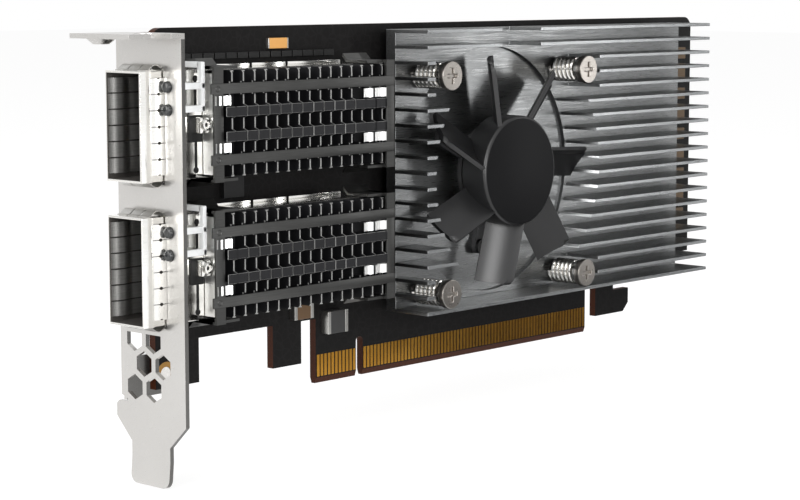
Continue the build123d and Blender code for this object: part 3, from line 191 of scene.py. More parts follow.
# Bracket: cold-rolled steel sheet, pierced and folded, then zinc plated to a pale satin. The
# long sheared edge is darker than the faces. The grain is drawn coarser than the real one.

STEEL_FACE = "C9C7C4"
STEEL_DULL = "BFBDBA"
STEEL_SHEAR = "6A6967"
PLATING_GRAIN = 0.18 * MM
PLATING_CLOUD = 14 * MM
TAB_FOLD = 67.3 * MM
EDGE_FACING = -0.6


def plated_sheet():
    """Satin zinc plating on the faces and a darker band on the sheared right edge."""
    m = new_material("zinc_plated_sheet")
    place = add(m, "TexCoord").outputs["Object"]
    grain = add(m, "TexNoise", {"Vector": place, "Scale": 1 / PLATING_GRAIN, "Detail": 3.0})
    clouds = add(m, "TexNoise", {"Vector": place, "Scale": 1 / PLATING_CLOUD, "Detail": 1.0})
    tone = add(m, "Mix", {0: clouds, 6: colour(STEEL_DULL), 7: colour(STEEL_FACE)},
               data_type="RGBA")
    facing = add(m, "NewGeometry").outputs["Normal"]
    normal = add(m, "SeparateXYZ", {0: facing})
    spot = add(m, "SeparateXYZ", {0: place})
    side = add(m, "Math", {0: normal.outputs["Y"], 1: EDGE_FACING}, operation="LESS_THAN")
    low = add(m, "Math", {0: spot.outputs["Z"], 1: TAB_FOLD}, operation="LESS_THAN")
    sheared = add(m, "Math", {0: side, 1: low}, operation="MULTIPLY")
    base = add(m, "Mix", {0: sheared, 6: tone.outputs[2], 7: colour(STEEL_SHEAR)},
               data_type="RGBA")
    rough = add(m, "MapRange", {"Value": grain, "To Min": 0.24, "To Max": 0.34})
    bump = add(m, "Bump", {"Height": grain, "Strength": 0.3, "Distance": 0.003 * MM})
    return show(m, add(m, "BsdfPrincipled", {
        "Base Color": base.outputs[2], "Metallic": 0.9, "Roughness": rough, "Normal": bump}))


dress("bracket", plated_sheet(), edge=0.08 * MM)

# Board hardware: brass inserts pressed into the board behind the bracket's ears, brass nuts on
# the solder side under the cooler's screws, and plated screws that hold the bracket. Turned
# brass is warm and even, and bright nickel mirrors the room with hardly any tint.

brass = metal("turned_brass", "B08850", "7A5A30", roughness=0.3, grain=0.1 * MM)
nickel = metal("bright_nickel", "E4E2DE", "CFCDC9", roughness=0.1, grain=0.3 * MM, spread=0.05,
               relief=0.0008 * MM)
dress("bracket_inserts", brass)
dress("standoff_nuts", brass)
dress("bracket_screws", nickel)

# Port cages: thin stainless sheet, folded into a box and soldered to the board. Outside, the
# rolled surface mirrors softly; inside the box and under the finger bands it is painted dark and
# dull, a painted shade.

CAGE_STEEL = "F2F1ED"
CAGE_STEEL_DARK = "DFDDD8"
CAGE_PAINTED_SHADE = "4A4744"
CAGE_MIDDLE = {"upper": 52.3 * MM, "lower": 27.2 * MM}
CAGE_HALF = 9.45 * MM
CAGE_WALL = 0.3 * MM
CAGE_FACE = -9.05 * MM
MOUTH = -63.05 * MM
BRACKET_PLANE = -58.01 * MM
ROLL_LENGTH = 9 * MM
ROLL_WIDTH = 0.3 * MM
SHADE_MARGIN = 0.05 * MM
SHADE_BACK = -0.2 * MM
COVERED_START = MOUTH + 1.0 * MM
COVERED_END = BRACKET_PLANE + 0.4 * MM
COVERED_HALF = 8.4 * MM


def within(m, value, low, high):
    """1 where a value lies between two limits."""
    above = add(m, "Math", {0: value, 1: low}, operation="GREATER_THAN")
    below = add(m, "Math", {0: value, 1: high}, operation="LESS_THAN")
    return add(m, "Math", {0: above, 1: below}, operation="MULTIPLY")


def rolled_stainless(name, middle):
    """Bright rolled sheet, painted dark within the box and under the bands as a painted shade.
    The faint rolling lines along X are drawn wider than the real ones."""
    m = new_material("rolled_stainless_" + name)
    place = add(m, "TexCoord").outputs["Object"]
    spot = add(m, "SeparateXYZ", {0: place})
    inner = CAGE_HALF - CAGE_WALL + SHADE_MARGIN
    deep = within(m, spot.outputs["Y"], CAGE_FACE + CAGE_WALL - SHADE_MARGIN, SHADE_BACK)
    between = within(m, spot.outputs["Z"], middle - inner, middle + inner)
    hollow = add(m, "Math", {0: deep, 1: between}, operation="MULTIPLY")
    near = within(m, spot.outputs["X"], COVERED_START, COVERED_END)
    under = within(m, spot.outputs["Z"], middle - COVERED_HALF, middle + COVERED_HALF)
    covered = add(m, "Math", {0: near, 1: under}, operation="MULTIPLY")
    # Painted shade: the steel is darkened inside the box and under the finger bands.
    painted_shade = add(m, "Math", {0: hollow, 1: covered}, operation="MAXIMUM")
    scale = (1 / ROLL_LENGTH, 1 / ROLL_WIDTH, 1 / ROLL_WIDTH)
    lines = add(m, "Mapping", {"Vector": place, "Scale": scale})
    streaks = add(m, "TexNoise", {"Vector": lines, "Scale": 1.0, "Detail": 3.0})
    bright = add(m, "Mix", {0: streaks, 6: colour(CAGE_STEEL_DARK), 7: colour(CAGE_STEEL)},
                 data_type="RGBA")
    base = add(m, "Mix", {0: painted_shade, 6: bright.outputs[2], 7: colour(CAGE_PAINTED_SHADE)}, data_type="RGBA")
    rough = add(m, "MapRange", {"Value": painted_shade, "To Min": 0.14, "To Max": 0.5})
    metallic = add(m, "MapRange", {"Value": painted_shade, "To Min": 1.0, "To Max": 0.4})
    return show(m, add(m, "BsdfPrincipled", {
        "Base Color": base.outputs[2], "Metallic": metallic, "Roughness": rough}))


for name, middle in CAGE_MIDDLE.items():
    dress("port_cage_" + name, rolled_stainless(name, middle), edge=0.12 * MM)

# Finger bands: hardened spring steel 0.12 mm thick, blanked into fingers that bow out to touch
# the bracket and bow in to grip the module. Each slit ends in a round hole near the bracket.

BAND_SHEET = 0.12 * MM
BAND_LENGTH = 2.3 * MM
BAND_LIP = 0.1 * MM
FACE_FINGERS = 6
SIDE_FINGERS = 3
FINGER_PITCH = 2.8 * MM
FINGER_SLIT = 0.13 * MM
FINGER_STEPS = 22
SLIT_HOLE = 0.3 * MM
SLIT_HOLE_BITE = 0.8
SLIT_HOLE_PLACE = BRACKET_PLANE - 1.3 * MM
BOW_START = MOUTH + BAND_LENGTH
FACE_END = BRACKET_PLANE - 0.06 * MM
FACE_BOW = 0.3 * MM
SIDE_END = BRACKET_PLANE + 0.45 * MM
SIDE_BOW = 0.9 * MM
SIDE_LIFT = 0.13 * MM
GRIP_START = MOUTH + 0.3 * MM
GRIP_END = MOUTH + 7.0 * MM
GRIP_BOW_ENDS = (MOUTH + 0.6 * MM, MOUTH + 4.6 * MM)
GRIP_BOW = 0.5 * MM
GRIP_LIFT = 0.02 * MM
SMOOTH_ANGLE = radians(35)


def finish_piece(name, bm, material, body, replaces=()):
    """Makes an object of a finished bmesh and hands it to its body."""
    bmesh.ops.remove_doubles(bm, verts=bm.verts, dist=0.0005 * MM)
    bmesh.ops.recalc_face_normals(bm, faces=bm.faces)
    mesh = bpy.data.meshes.new(name)
    bm.to_mesh(mesh)
    bm.free()
    mesh.materials.append(material)
    piece = bpy.data.objects.new(name, mesh)
    bpy.context.scene.collection.objects.link(piece)
    mesh.shade_smooth()
    mesh.set_sharp_from_angle(angle=SMOOTH_ANGLE)
    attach(piece, body)
    if replaces:
        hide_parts(*replaces)


def rounded_box(bm, low, high, edge, segments=2):
    """Box between two corners with its edges rounded."""
    box = bmesh.ops.create_cube(bm, size=1.0)["verts"]
    low, high = Vector(low), Vector(high)
    bmesh.ops.scale(bm, vec=high - low, verts=box)
    bmesh.ops.translate(bm, vec=(low + high) / 2, verts=box)
    if edge:
        edges = list({e for vert in box for e in vert.link_edges})
        bmesh.ops.bevel(bm, geom=edges, offset=edge, segments=segments, profile=0.5,
                        affect="EDGES", material=-1)


def pushed_out(bm, faces):
    """Doubles some faces as the start of a thickness, and gives the new vertices."""
    grown = bmesh.ops.extrude_face_region(bm, geom=faces, use_keep_orig=True)["geom"]
    return [part for part in grown if isinstance(part, bmesh.types.BMVert)]


def sheet_strip(bm, place, out, across, start, end, rise, half_width, thickness, steps):
    """Strip of thin sheet along X: place is a point on the surface it stands on, out and across
    are unit vectors, and rise and half_width are functions of X."""
    grid = bmesh.ops.create_grid(bm, x_segments=steps, y_segments=1, size=0.5)["verts"]
    for vert in grid:
        x = start + (vert.co.x + 0.5) * (end - start)
        side = 2 * vert.co.y * half_width(x)
        vert.co = Vector(place) + Vector((x, 0, 0)) + out * rise(x) + across * side
    faces = list({face for vert in grid for face in vert.link_faces})
    bmesh.ops.translate(bm, vec=out * thickness, verts=pushed_out(bm, faces))


def slit_width(x):
    """Half the width of a finger, narrower where the round hole ends each slit."""
    off = min(abs(x - SLIT_HOLE_PLACE) / SLIT_HOLE, 1.0)
    bite = SLIT_HOLE_BITE * SLIT_HOLE * (1 - off * off) ** 0.5
    return (FINGER_PITCH - FINGER_SLIT) / 2 - bite


def plain_width(x):
    return (FINGER_PITCH - 2 * FINGER_SLIT) / 2


def bowed(start, end, height, base=0.0):
    """Rise of a bowed finger between two places along X."""
    return lambda x: base + height * sin(pi * min(max((x - start) / (end - start), 0), 1))


# Polished spring steel mirrors the room almost white; the grip fingers within and the fingers on
# the cage's upper and lower sides are the same steel given a darker base, a painted shade.
polished = metal("polished_spring_steel", "FAF9F6", "EDECE8", roughness=0.14, grain=0.25 * MM,
                 stretch=(30, 1, 1), spread=0.05, relief=0.0006 * MM)
spring_painted_shade = metal("spring_steel_painted_shade", "C9C8C5", "A5A4A1", roughness=0.34, grain=0.2 * MM,
                    stretch=(20, 1, 1), spread=0.1, relief=0.002 * MM)
outward, upward = Vector((0, -1, 0)), Vector((0, 0, 1))
for name, middle in CAGE_MIDDLE.items():
    bm = bmesh.new()
    # The fingers gathered in grip get the darker steel, a painted shade.
    grip = bmesh.new()
    outer = CAGE_HALF + BAND_SHEET
    face = CAGE_FACE - BAND_SHEET
    rounded_box(bm, (MOUTH, face - BAND_LIP, middle - outer),
                (BOW_START, CAGE_FACE, middle + outer), BAND_LIP)
    for way in (-1, 1):
        low, high = sorted((middle + way * CAGE_HALF, middle + way * outer))
        rounded_box(bm, (MOUTH, face, low), (BOW_START, BAND_SHEET, high), 0.04 * MM, 1)
        for i in range(SIDE_FINGERS):
            y = (i - (SIDE_FINGERS - 1) / 2) * FINGER_PITCH + CAGE_FACE / 2
            sheet_strip(grip, (0, y, middle + way * CAGE_HALF), Vector((0, 0, way)),
                        Vector((0, 1, 0)), BOW_START - 0.5 * MM, SIDE_END,
                        bowed(BOW_START, SIDE_END + 0.05 * MM, SIDE_BOW, SIDE_LIFT),
                        plain_width, BAND_SHEET, steps=12)
    for i in range(FACE_FINGERS):
        z = middle + (i - (FACE_FINGERS - 1) / 2) * FINGER_PITCH
        sheet_strip(bm, (0, CAGE_FACE, z), outward, upward, BOW_START - 0.3 * MM, FACE_END,
                    bowed(BOW_START, FACE_END + 1.5 * MM, FACE_BOW, BAND_SHEET),
                    slit_width, BAND_SHEET, FINGER_STEPS)
        sheet_strip(grip, (0, -CAGE_WALL, z), outward, upward, GRIP_START, GRIP_END,
                    bowed(*GRIP_BOW_ENDS, GRIP_BOW, GRIP_LIFT), plain_width, BAND_SHEET,
                    steps=14)
    finish_piece("finger_band_" + name, bm, polished, "card",
                 ["cage_fingers_" + name])
    finish_piece("grip_fingers_" + name, grip, spring_painted_shade, "card")

# Cage lips: the cover of each cage is folded up into a low rim along its upper side, cut into
# tabs, with a gap where the light pipe's leg passes.

LIP_FACE = -3.1 * MM
LIP_SHEET = 0.25 * MM
LIP_HEIGHT = 0.6 * MM
LIP_SINK = 0.05 * MM
LIP_TABS_MM = ((-57.0, -51.3), (-49.4, -40.9), (-40.3, -31.8), (-31.2, -22.7), (-22.1, -8.2))

for name, middle in CAGE_MIDDLE.items():
    bm = bmesh.new()
    rim = middle + CAGE_HALF
    for left, right in LIP_TABS_MM:
        rounded_box(bm, (left * MM, LIP_FACE, rim - LIP_SINK),
                    (right * MM, LIP_FACE + LIP_SHEET, rim + LIP_HEIGHT), 0.1 * MM)
    finish_piece("cage_lip_" + name, bm, polished, "card")

# Latches: a polished button pressed from thin spring steel, on a small plate that is riveted to
# the cage behind the bracket.

LATCH_PLACE = -50.3 * MM
LATCH_HEIGHT = 2.2 * MM
LATCH_FRONT = CAGE_FACE - LATCH_HEIGHT
PLATE_HALF = 1.1 * MM
PLATE_DOWN = 1.5 * MM
PLATE_UP = 1.3 * MM
BUTTON_RADIUS = 1.1 * MM
# Share of the radius and millimetres in front of the plate, from the dished middle outward.
BUTTON_PROFILE = ((0, 0.25), (0.35, 0.3), (0.55, 0.7), (0.85, 0.65), (1, 0.3), (1, 0), (0, 0))


def turned(bm, x, z, profile, steps=48):
    """Spins a profile of (radius, Y) points round an axis along Y."""
    made = [bm.verts.new((x + r, y, z)) for r, y in profile]
    edges = [bm.edges.new(pair) for pair in zip(made, made[1:])]
    bmesh.ops.spin(bm, geom=made + edges, cent=(x, 0, z), axis=(0, 1, 0), angle=tau,
                   steps=steps, use_merge=True)


for name, middle in CAGE_MIDDLE.items():
    bm = bmesh.new()
    rounded_box(bm, (LATCH_PLACE - PLATE_HALF, LATCH_FRONT, middle - PLATE_DOWN),
                (LATCH_PLACE + PLATE_HALF, CAGE_FACE, middle + PLATE_UP), 0.3 * MM)
    turned(bm, LATCH_PLACE, middle, [(share * BUTTON_RADIUS, LATCH_FRONT - rise * MM)
                                     for share, rise in BUTTON_PROFILE], steps=32)
    finish_piece("latch_button_" + name, bm, polished, "card")

# Port connectors: black glass-filled nylon, moulded, with two rows of gilt blades in each
# connector. Beside each latch a thin black sheet of the same nylon stands for the dark opening in
# the cage, and black strips with round ends stand for the cage's long slot: both painted shade.

SHADOW_SHEET = 0.35 * MM
SHADOW_LEFT = LATCH_PLACE - 2.0 * MM
SHADOW_RIGHT = LATCH_PLACE + 1.1 * MM
SHADOW_DOWN = 3.1 * MM
SHADOW_UP = 1.6 * MM
SLOT_PLACE = LATCH_PLACE - 0.2 * MM
SLOT_HALF = 0.3 * MM
SLOT_PROUD = 0.06 * MM
SLOT_NEAR = 2.4 * MM
SLOT_FAR = 8.2 * MM
SLOT_EYE = 8.0 * MM
EYE_RADIUS = 0.55 * MM
EYE_PROUD = 0.08 * MM
MOULD_CLOUD = 12 * MM
MOULD_SHADE = 0.75


def moulded(name, text, roughness, grain, relief=0.01 * MM):
    """Moulded plastic with a spark-eroded grain, drawn coarser than the real one."""
    m = new_material(name)
    place = add(m, "TexCoord").outputs["Object"]
    fine = add(m, "TexNoise", {"Vector": place, "Scale": 1 / grain, "Detail": 3.0})
    broad = add(m, "TexNoise", {"Vector": place, "Scale": 1 / MOULD_CLOUD, "Detail": 2.0})
    shade = colour(text)
    darker = [c * MOULD_SHADE for c in shade[:3]] + [1.0]
    base = add(m, "Mix", {0: broad, 6: darker, 7: shade}, data_type="RGBA")
    rough = add(m, "MapRange", {"Value": fine, "To Min": roughness - 0.06,
                                "To Max": roughness + 0.1})
    bump = add(m, "Bump", {"Height": fine, "Strength": 0.5, "Distance": relief})
    return show(m, add(m, "BsdfPrincipled", {
        "Base Color": base.outputs[2], "Roughness": rough, "IOR": 1.53, "Specular IOR Level": 0.3,
        "Normal": bump}))


# Glass-filled nylon is black with a soft, slightly uneven sheen.
nylon = moulded("black_nylon", "111111", roughness=0.45, grain=0.15 * MM)
for name, middle in CAGE_MIDDLE.items():
    dress("port_connector_" + name, nylon)
    dress("port_contacts_" + name, gold)
    # Painted shade: a black sheet where the opening beside the latch shows dark, and black strips
    # and round eyes where the cage's slot shows dark.
    bm = bmesh.new()
    rounded_box(bm, (SHADOW_LEFT, CAGE_FACE - SHADOW_SHEET, middle - SHADOW_DOWN),
                (SHADOW_RIGHT, CAGE_FACE, middle + SHADOW_UP), 0.15 * MM)
    for way in (-1, 1):
        low, high = sorted((middle + way * SLOT_NEAR, middle + way * SLOT_FAR))
        rounded_box(bm, (SLOT_PLACE - SLOT_HALF, CAGE_FACE - SLOT_PROUD, low),
                    (SLOT_PLACE + SLOT_HALF, CAGE_FACE, high), 0.02 * MM, 1)
        eye = [(0, CAGE_FACE - EYE_PROUD), (EYE_RADIUS, CAGE_FACE - EYE_PROUD),
               (EYE_RADIUS, CAGE_FACE), (0, CAGE_FACE)]
        turned(bm, SLOT_PLACE, middle + way * SLOT_EYE, eye, steps=20)
    finish_piece("latch_painted_shadow_" + name, bm, nylon, "card")

# Light pipes: acrylic rods moulded in one with their leg, over white lamps. The polished sides
# reflect the white of the room, and their milky white base adds a painted reflection of it; the
# front ends are painted dark, a painted shade for the look down the rod.

PIPE_PAINTED_WHITE = "F7F8F8"
PIPE_PAINTED_WHITE_CLOUD = "E9EBEB"
PIPE_END_SHADE = "2B2C2D"
CLOUD_GRAIN = 0.8 * MM
PIPE_END_PLANE = BRACKET_PLANE + 0.2 * MM
PIPE_RADIUS = 0.975 * MM
PIPE_LINE = -10.45 * MM
PIPE_OFFSETS = (6.8 * MM, 2.85 * MM)
PIPE_FRONT = BRACKET_PLANE - 0.7 * MM
PIPE_LEG = (-50.8 * MM, -49.9 * MM)
ROD_LENGTH = 2.2 * MM
ROD_ROUND = 0.3 * MM
BAR_START = PIPE_FRONT + 1.5 * MM
BAR_HALF = 0.6 * MM
BAR_ROUND = 0.2 * MM
LEG_OFFSET = 9.85 * MM
LEG_HEIGHT = 1.1 * MM
LEG_ROUND = 0.25 * MM
FOOT_HEIGHT = 3.6 * MM
FOOT_FRONT = -2.0 * MM
FOOT_FACE = -0.95 * MM


def acrylic():
    """Clear acrylic with a milky white base, a painted reflection of the white room, painted dark
    at the ends that stand out of the bracket as a painted shade.
    """
    m = new_material("moulded_acrylic")
    place = add(m, "TexCoord").outputs["Object"]
    spot = add(m, "SeparateXYZ", {0: place})
    # Painted shade: the ends that stand out of the bracket are dark.
    end = add(m, "Math", {0: spot.outputs["X"], 1: PIPE_END_PLANE}, operation="LESS_THAN")
    cloud = add(m, "TexNoise", {"Vector": place, "Scale": 1 / CLOUD_GRAIN, "Detail": 2.0})
    # Painted reflection: a milky white base for the white room seen in the rods.
    painted_white = add(m, "Mix", {0: cloud, 6: colour(PIPE_PAINTED_WHITE_CLOUD), 7: colour(PIPE_PAINTED_WHITE)},
                data_type="RGBA")
    base = add(m, "Mix", {0: end, 6: painted_white.outputs[2], 7: colour(PIPE_END_SHADE)}, data_type="RGBA")
    rough = add(m, "MapRange", {"Value": cloud, "To Min": 0.06, "To Max": 0.14})
    return show(m, add(m, "BsdfPrincipled", {
        "Base Color": base.outputs[2], "Roughness": rough, "IOR": 1.49,
        "Transmission Weight": 0.12}))


bm = bmesh.new()
left, right = PIPE_LEG
bar_front, bar_back = PIPE_LINE - BAR_HALF, PIPE_LINE + BAR_HALF
for middle in CAGE_MIDDLE.values():
    leg = middle + LEG_OFFSET
    for offset in PIPE_OFFSETS:
        z = middle + offset
        rod = bmesh.ops.create_cone(bm, cap_ends=True, segments=32, radius1=PIPE_RADIUS,
                                    radius2=PIPE_RADIUS, depth=ROD_LENGTH)["verts"]
        turn = Matrix.Rotation(pi / 2, 4, "Y")
        place = Matrix.Translation((PIPE_FRONT + ROD_LENGTH / 2, PIPE_LINE, z))
        bmesh.ops.transform(bm, matrix=place @ turn, verts=rod)
        rims = [edge for edge in {e for vert in rod for e in vert.link_edges}
                if abs(edge.verts[0].co.x - edge.verts[1].co.x) < 0.001 * MM]
        bmesh.ops.bevel(bm, geom=rims, offset=ROD_ROUND, segments=4, profile=0.5,
                        affect="EDGES", material=-1)
        rounded_box(bm, (BAR_START, bar_front, z - BAR_HALF), (right, bar_back, z + BAR_HALF),
                    BAR_ROUND)
    rounded_box(bm, (left, bar_front, middle + PIPE_OFFSETS[1] - BAR_HALF),
                (right, bar_back, leg + LEG_HEIGHT), BAR_ROUND)
    rounded_box(bm, (left, PIPE_LINE, leg), (right, FOOT_FACE, leg + LEG_HEIGHT), LEG_ROUND)
    rounded_box(bm, (left, FOOT_FRONT, leg), (right, FOOT_FACE, leg + FOOT_HEIGHT), BAR_ROUND)
finish_piece("light_pipe_pair", bm, acrylic(), "card", ["light_pipes"])
dress("status_lamps", moulded("lamp_resin", "E6E2D0", roughness=0.3, grain=0.3 * MM))

# Riding heatsinks: thin aluminium fins, anodised black, folded over at the front into two closed
# bands and flanged at their outer ends. The fins' front edges and the bands' seams are painted
# pale: painted highlights.

ANODISE = "1C1C1E"
PAINTED_HIGHLIGHT = "C4C4C2"
PAINTED_HIGHLIGHT_DARK = "8C8C8A"
HIGHLIGHT_GRAIN = 0.4 * MM
FIN_COUNT = 17
FIN_PITCH = 2.74 * MM
FIN_SHEET = 0.3 * MM
FIRST_FIN = -47.7 * MM
BASE_FRONT = -10.05 * MM
CHANNEL_FLOOR = -11.85 * MM
FIN_FRONT = -12.5 * MM
BAND_FRONT = -13.5 * MM
BAND_LOW = 1.32 * MM
BAND_HIGH = 3.02 * MM
SHOULDER = 0.4 * MM
CHANNEL_LOW = 5.03 * MM
CHANNEL_HIGH = 7.37 * MM
RIDER_HALF = 9.3 * MM
RIDER_LEFT = -48.45 * MM
RIDER_RIGHT = -3.11 * MM
FOOT_HALF = 6.9 * MM
FOOT_LEFT = -47.6 * MM
FOOT_RIGHT = -8.4 * MM
FOOT_DEPTH = 0.75 * MM
PLAIN_LEFT = 2
PLAIN_RIGHT = 4
BAND_LEFT = -47.2 * MM
BAND_RIGHT = -6.16 * MM
BAND_SEAM = 0.06 * MM
FIN_FLANGE = 0.6 * MM
FLANGE_SHEET = 0.2 * MM
FLANGE_FRONT = FIN_FRONT + 0.3 * MM
HIGHLIGHT_FRONT = BAND_FRONT + 0.02 * MM
HIGHLIGHT_BACK = BASE_FRONT - 0.4 * MM
HIGHLIGHT_LEFT = FIRST_FIN + (PLAIN_LEFT - 0.3) * FIN_PITCH
HIGHLIGHT_RIGHT = FIRST_FIN + (FIN_COUNT - PLAIN_RIGHT - 0.5) * FIN_PITCH
SEAM_HIGHLIGHT = 0.6
FRONT_FACING = -0.3


def anodised():
    """Black anodising with painted highlights: pale along the fins' front edges and the bands'
    seams.
    """
    m = new_material("black_anodising")
    place = add(m, "TexCoord").outputs["Object"]
    facing = add(m, "NewGeometry").outputs["Normal"]
    normal = add(m, "SeparateXYZ", {0: facing})
    spot = add(m, "SeparateXYZ", {0: place})
    front = add(m, "Math", {0: normal.outputs["Y"], 1: FRONT_FACING}, operation="LESS_THAN")
    rows = within(m, spot.outputs["Y"], HIGHLIGHT_FRONT, HIGHLIGHT_BACK)
    turn = add(m, "Math", {0: spot.outputs["X"], 1: FIRST_FIN - FIN_SHEET / 2},
               operation="SUBTRACT")
    step = add(m, "Math", {0: turn, 1: FIN_PITCH}, operation="MODULO")
    seam = add(m, "Math", {0: step, 1: FIN_SHEET}, operation="LESS_THAN")
    closed = within(m, spot.outputs["X"], HIGHLIGHT_LEFT, HIGHLIGHT_RIGHT)
    seams = add(m, "Math", {0: seam, 1: closed}, operation="MULTIPLY")
    soft = add(m, "Math", {0: seams, 1: SEAM_HIGHLIGHT}, operation="MULTIPLY")
    # Painted highlight: the front-facing edges and seams get a pale metallic tone.
    highlight_mask = add(m, "Math", {0: rows, 1: soft}, operation="MAXIMUM")
    edge = add(m, "Math", {0: front, 1: highlight_mask}, operation="MULTIPLY")
    grain = add(m, "TexNoise", {"Vector": place, "Scale": 1 / HIGHLIGHT_GRAIN, "Detail": 4.0})
    highlight_tone = add(m, "Mix", {0: grain, 6: colour(PAINTED_HIGHLIGHT_DARK), 7: colour(PAINTED_HIGHLIGHT)}, data_type="RGBA")
    base = add(m, "Mix", {0: edge, 6: colour(ANODISE), 7: highlight_tone.outputs[2]}, data_type="RGBA")
    rough = add(m, "MapRange", {"Value": grain, "To Min": 0.36, "To Max": 0.5})
    metallic = add(m, "MapRange", {"Value": edge, "To Min": 0.2, "To Max": 0.9})
    return show(m, add(m, "BsdfPrincipled", {
        "Base Color": base.outputs[2], "Metallic": metallic, "Roughness": rough,
        "Specular IOR Level": 0.3}))


def fin_half(plain, under_bar):
    """Front line of half a fin, from its middle outward: distance from the middle, Y."""
    line = [(0, FIN_FRONT), (BAND_LOW - SHOULDER, FIN_FRONT), (BAND_LOW, BAND_FRONT),
            (BAND_HIGH, BAND_FRONT)]
    if under_bar:
        line = [(0, CHANNEL_FLOOR), (BAND_HIGH, CHANNEL_FLOOR)]
    if plain:
        line += [(BAND_HIGH, BASE_FRONT), (CHANNEL_LOW, BASE_FRONT)]
    else:
        line += [(BAND_HIGH + SHOULDER, FIN_FRONT), (CHANNEL_LOW, FIN_FRONT)]
    line += [(CHANNEL_LOW, CHANNEL_FLOOR), (CHANNEL_HIGH, CHANNEL_FLOOR)]
    if under_bar:
        return line + [(RIDER_HALF, CHANNEL_FLOOR), (RIDER_HALF, BASE_FRONT)]
    return line + [(CHANNEL_HIGH, FIN_FRONT), (RIDER_HALF - SHOULDER, FIN_FRONT),
                   (RIDER_HALF, FIN_FRONT + SHOULDER), (RIDER_HALF, BASE_FRONT)]


def slab(bm, z, line, left, right):
    """Closed outline of (distance from a middle, Y) points, extruded along X."""
    face = bm.faces.new([bm.verts.new((left, y, z + w)) for w, y in line])
    bmesh.ops.translate(bm, vec=(right - left, 0, 0), verts=pushed_out(bm, [face]))


def fin(bm, x, z, line):
    """One fin, mirrored from the front line of its upper half."""
    mirrored = [(-w, y) for w, y in reversed(line[1:])]
    slab(bm, z, line + mirrored, x - FIN_SHEET / 2, x + FIN_SHEET / 2)


black_anodise = anodised()
fin_places = [FIRST_FIN + i * FIN_PITCH for i in range(FIN_COUNT)]
seams = [x - FIN_SHEET / 2 for x in fin_places[PLAIN_LEFT:FIN_COUNT - PLAIN_RIGHT]]
band_spans = list(zip([BAND_LEFT] + seams, seams + [BAND_RIGHT]))
for name, middle in CAGE_MIDDLE.items():
    bm = bmesh.new()
    rounded_box(bm, (RIDER_LEFT, BASE_FRONT, middle - RIDER_HALF),
                (RIDER_RIGHT, CAGE_FACE, middle + RIDER_HALF), 0.15 * MM)
    rounded_box(bm, (FOOT_LEFT, CAGE_FACE, middle - FOOT_HALF),
                (FOOT_RIGHT, CAGE_FACE + FOOT_DEPTH, middle + FOOT_HALF), 0.1 * MM, 1)
    for i, x in enumerate(fin_places):
        plain = i < PLAIN_LEFT or i >= FIN_COUNT - PLAIN_RIGHT
        under_bar = i in (0, FIN_COUNT - 1)
        fin(bm, x, middle, fin_half(plain, under_bar))
        front = CHANNEL_FLOOR if under_bar else FLANGE_FRONT
        for way in (-1, 1):
            low, high = sorted((middle + way * RIDER_HALF,
                                middle + way * (RIDER_HALF - FLANGE_SHEET)))
            rounded_box(bm, (x, front, low), (x + FIN_FLANGE, BASE_FRONT, high), edge=0)
    for way in (-1, 1):
        low, high = sorted((middle + way * BAND_LOW, middle + way * BAND_HIGH))
        for left, right in band_spans:
            rounded_box(bm, (left, BAND_FRONT, low),
                        (right - BAND_SEAM, BAND_FRONT + FIN_SHEET, high), 0.06 * MM, 1)
    finish_piece("fin_stack_" + name, bm, black_anodise, "heatsink_" + name,
                 ["cage_heatsink_" + name])

# Clips: tempered spring steel, blanked and formed in one: a frame of two rails and two bars,
# hooked round the cage at its four corners, and bowed arms painted white as a painted highlight.

CLIP_STEEL = "585857"
CLIP_STEEL_DARK = "4B4B4A"
CLIP_SHEET = 0.5 * MM
RAIL_FRONT = -13.0 * MM
RAIL_BACK = RAIL_FRONT + CLIP_SHEET
RAIL_PROUD = 0.04 * MM
RAIL_LOW = 5.275 * MM
RAIL_HIGH = 7.125 * MM
RAIL_LEFT = -50.25 * MM
RAIL_RIGHT = -3.71 * MM
BAR_INSET = 0.6 * MM
BAR_WIDTH = 2.2 * MM
LEG_SIDE = 9.6 * MM
LEG_END = -6.8 * MM
LEG_FLARE = 1.2 * MM
LEG_WIDTH = 6.4 * MM
DIMPLE_INSET = 1.5 * MM
# Radius and height of the pressed ring, in millimetres.
DIMPLE_RING = ((0.3, 0), (0.4, 0.15), (0.55, 0.15), (0.62, 0), (0.3, 0))
ARM_LOW = 3.3 * MM
ARM_HIGH = 4.95 * MM
ARM_SHEET = 0.2 * MM
ARM_WAVE = -0.5 * MM
# Left and right end in millimetres, waves, and height over the cage.
ARMS_MM = ((-49.4, -45.9, 3, 3.95), (-12.1, -9.6, 1, 3.8), (-9.1, -6.0, 1, 3.8))
END_PLATE_LEFT = RIDER_LEFT - 0.5 * MM
END_PLATE_RIGHT = RIDER_LEFT - 0.2 * MM
END_PLATE_FRONT = RAIL_BACK - 0.05 * MM
END_PLATE_BACK = CAGE_FACE - 0.1 * MM
END_PLATE_HALF = 8.9 * MM

# Tempering leaves the frame a dark satin grey; the arms and the plate at the rider's left end are
# the same steel given a white base, a painted highlight.
clip_steel = metal("tempered_spring_steel", CLIP_STEEL, CLIP_STEEL_DARK, roughness=0.38,
                   grain=0.2 * MM, stretch=(20, 1, 1), spread=0.1, relief=0.002 * MM)
arm_painted_highlight = metal("spring_steel_painted_highlight", "FFFFFE", "F1F1EF", roughness=0.3, grain=0.3 * MM,
                   stretch=(1, 1, 9), spread=0.1, relief=0.001 * MM)


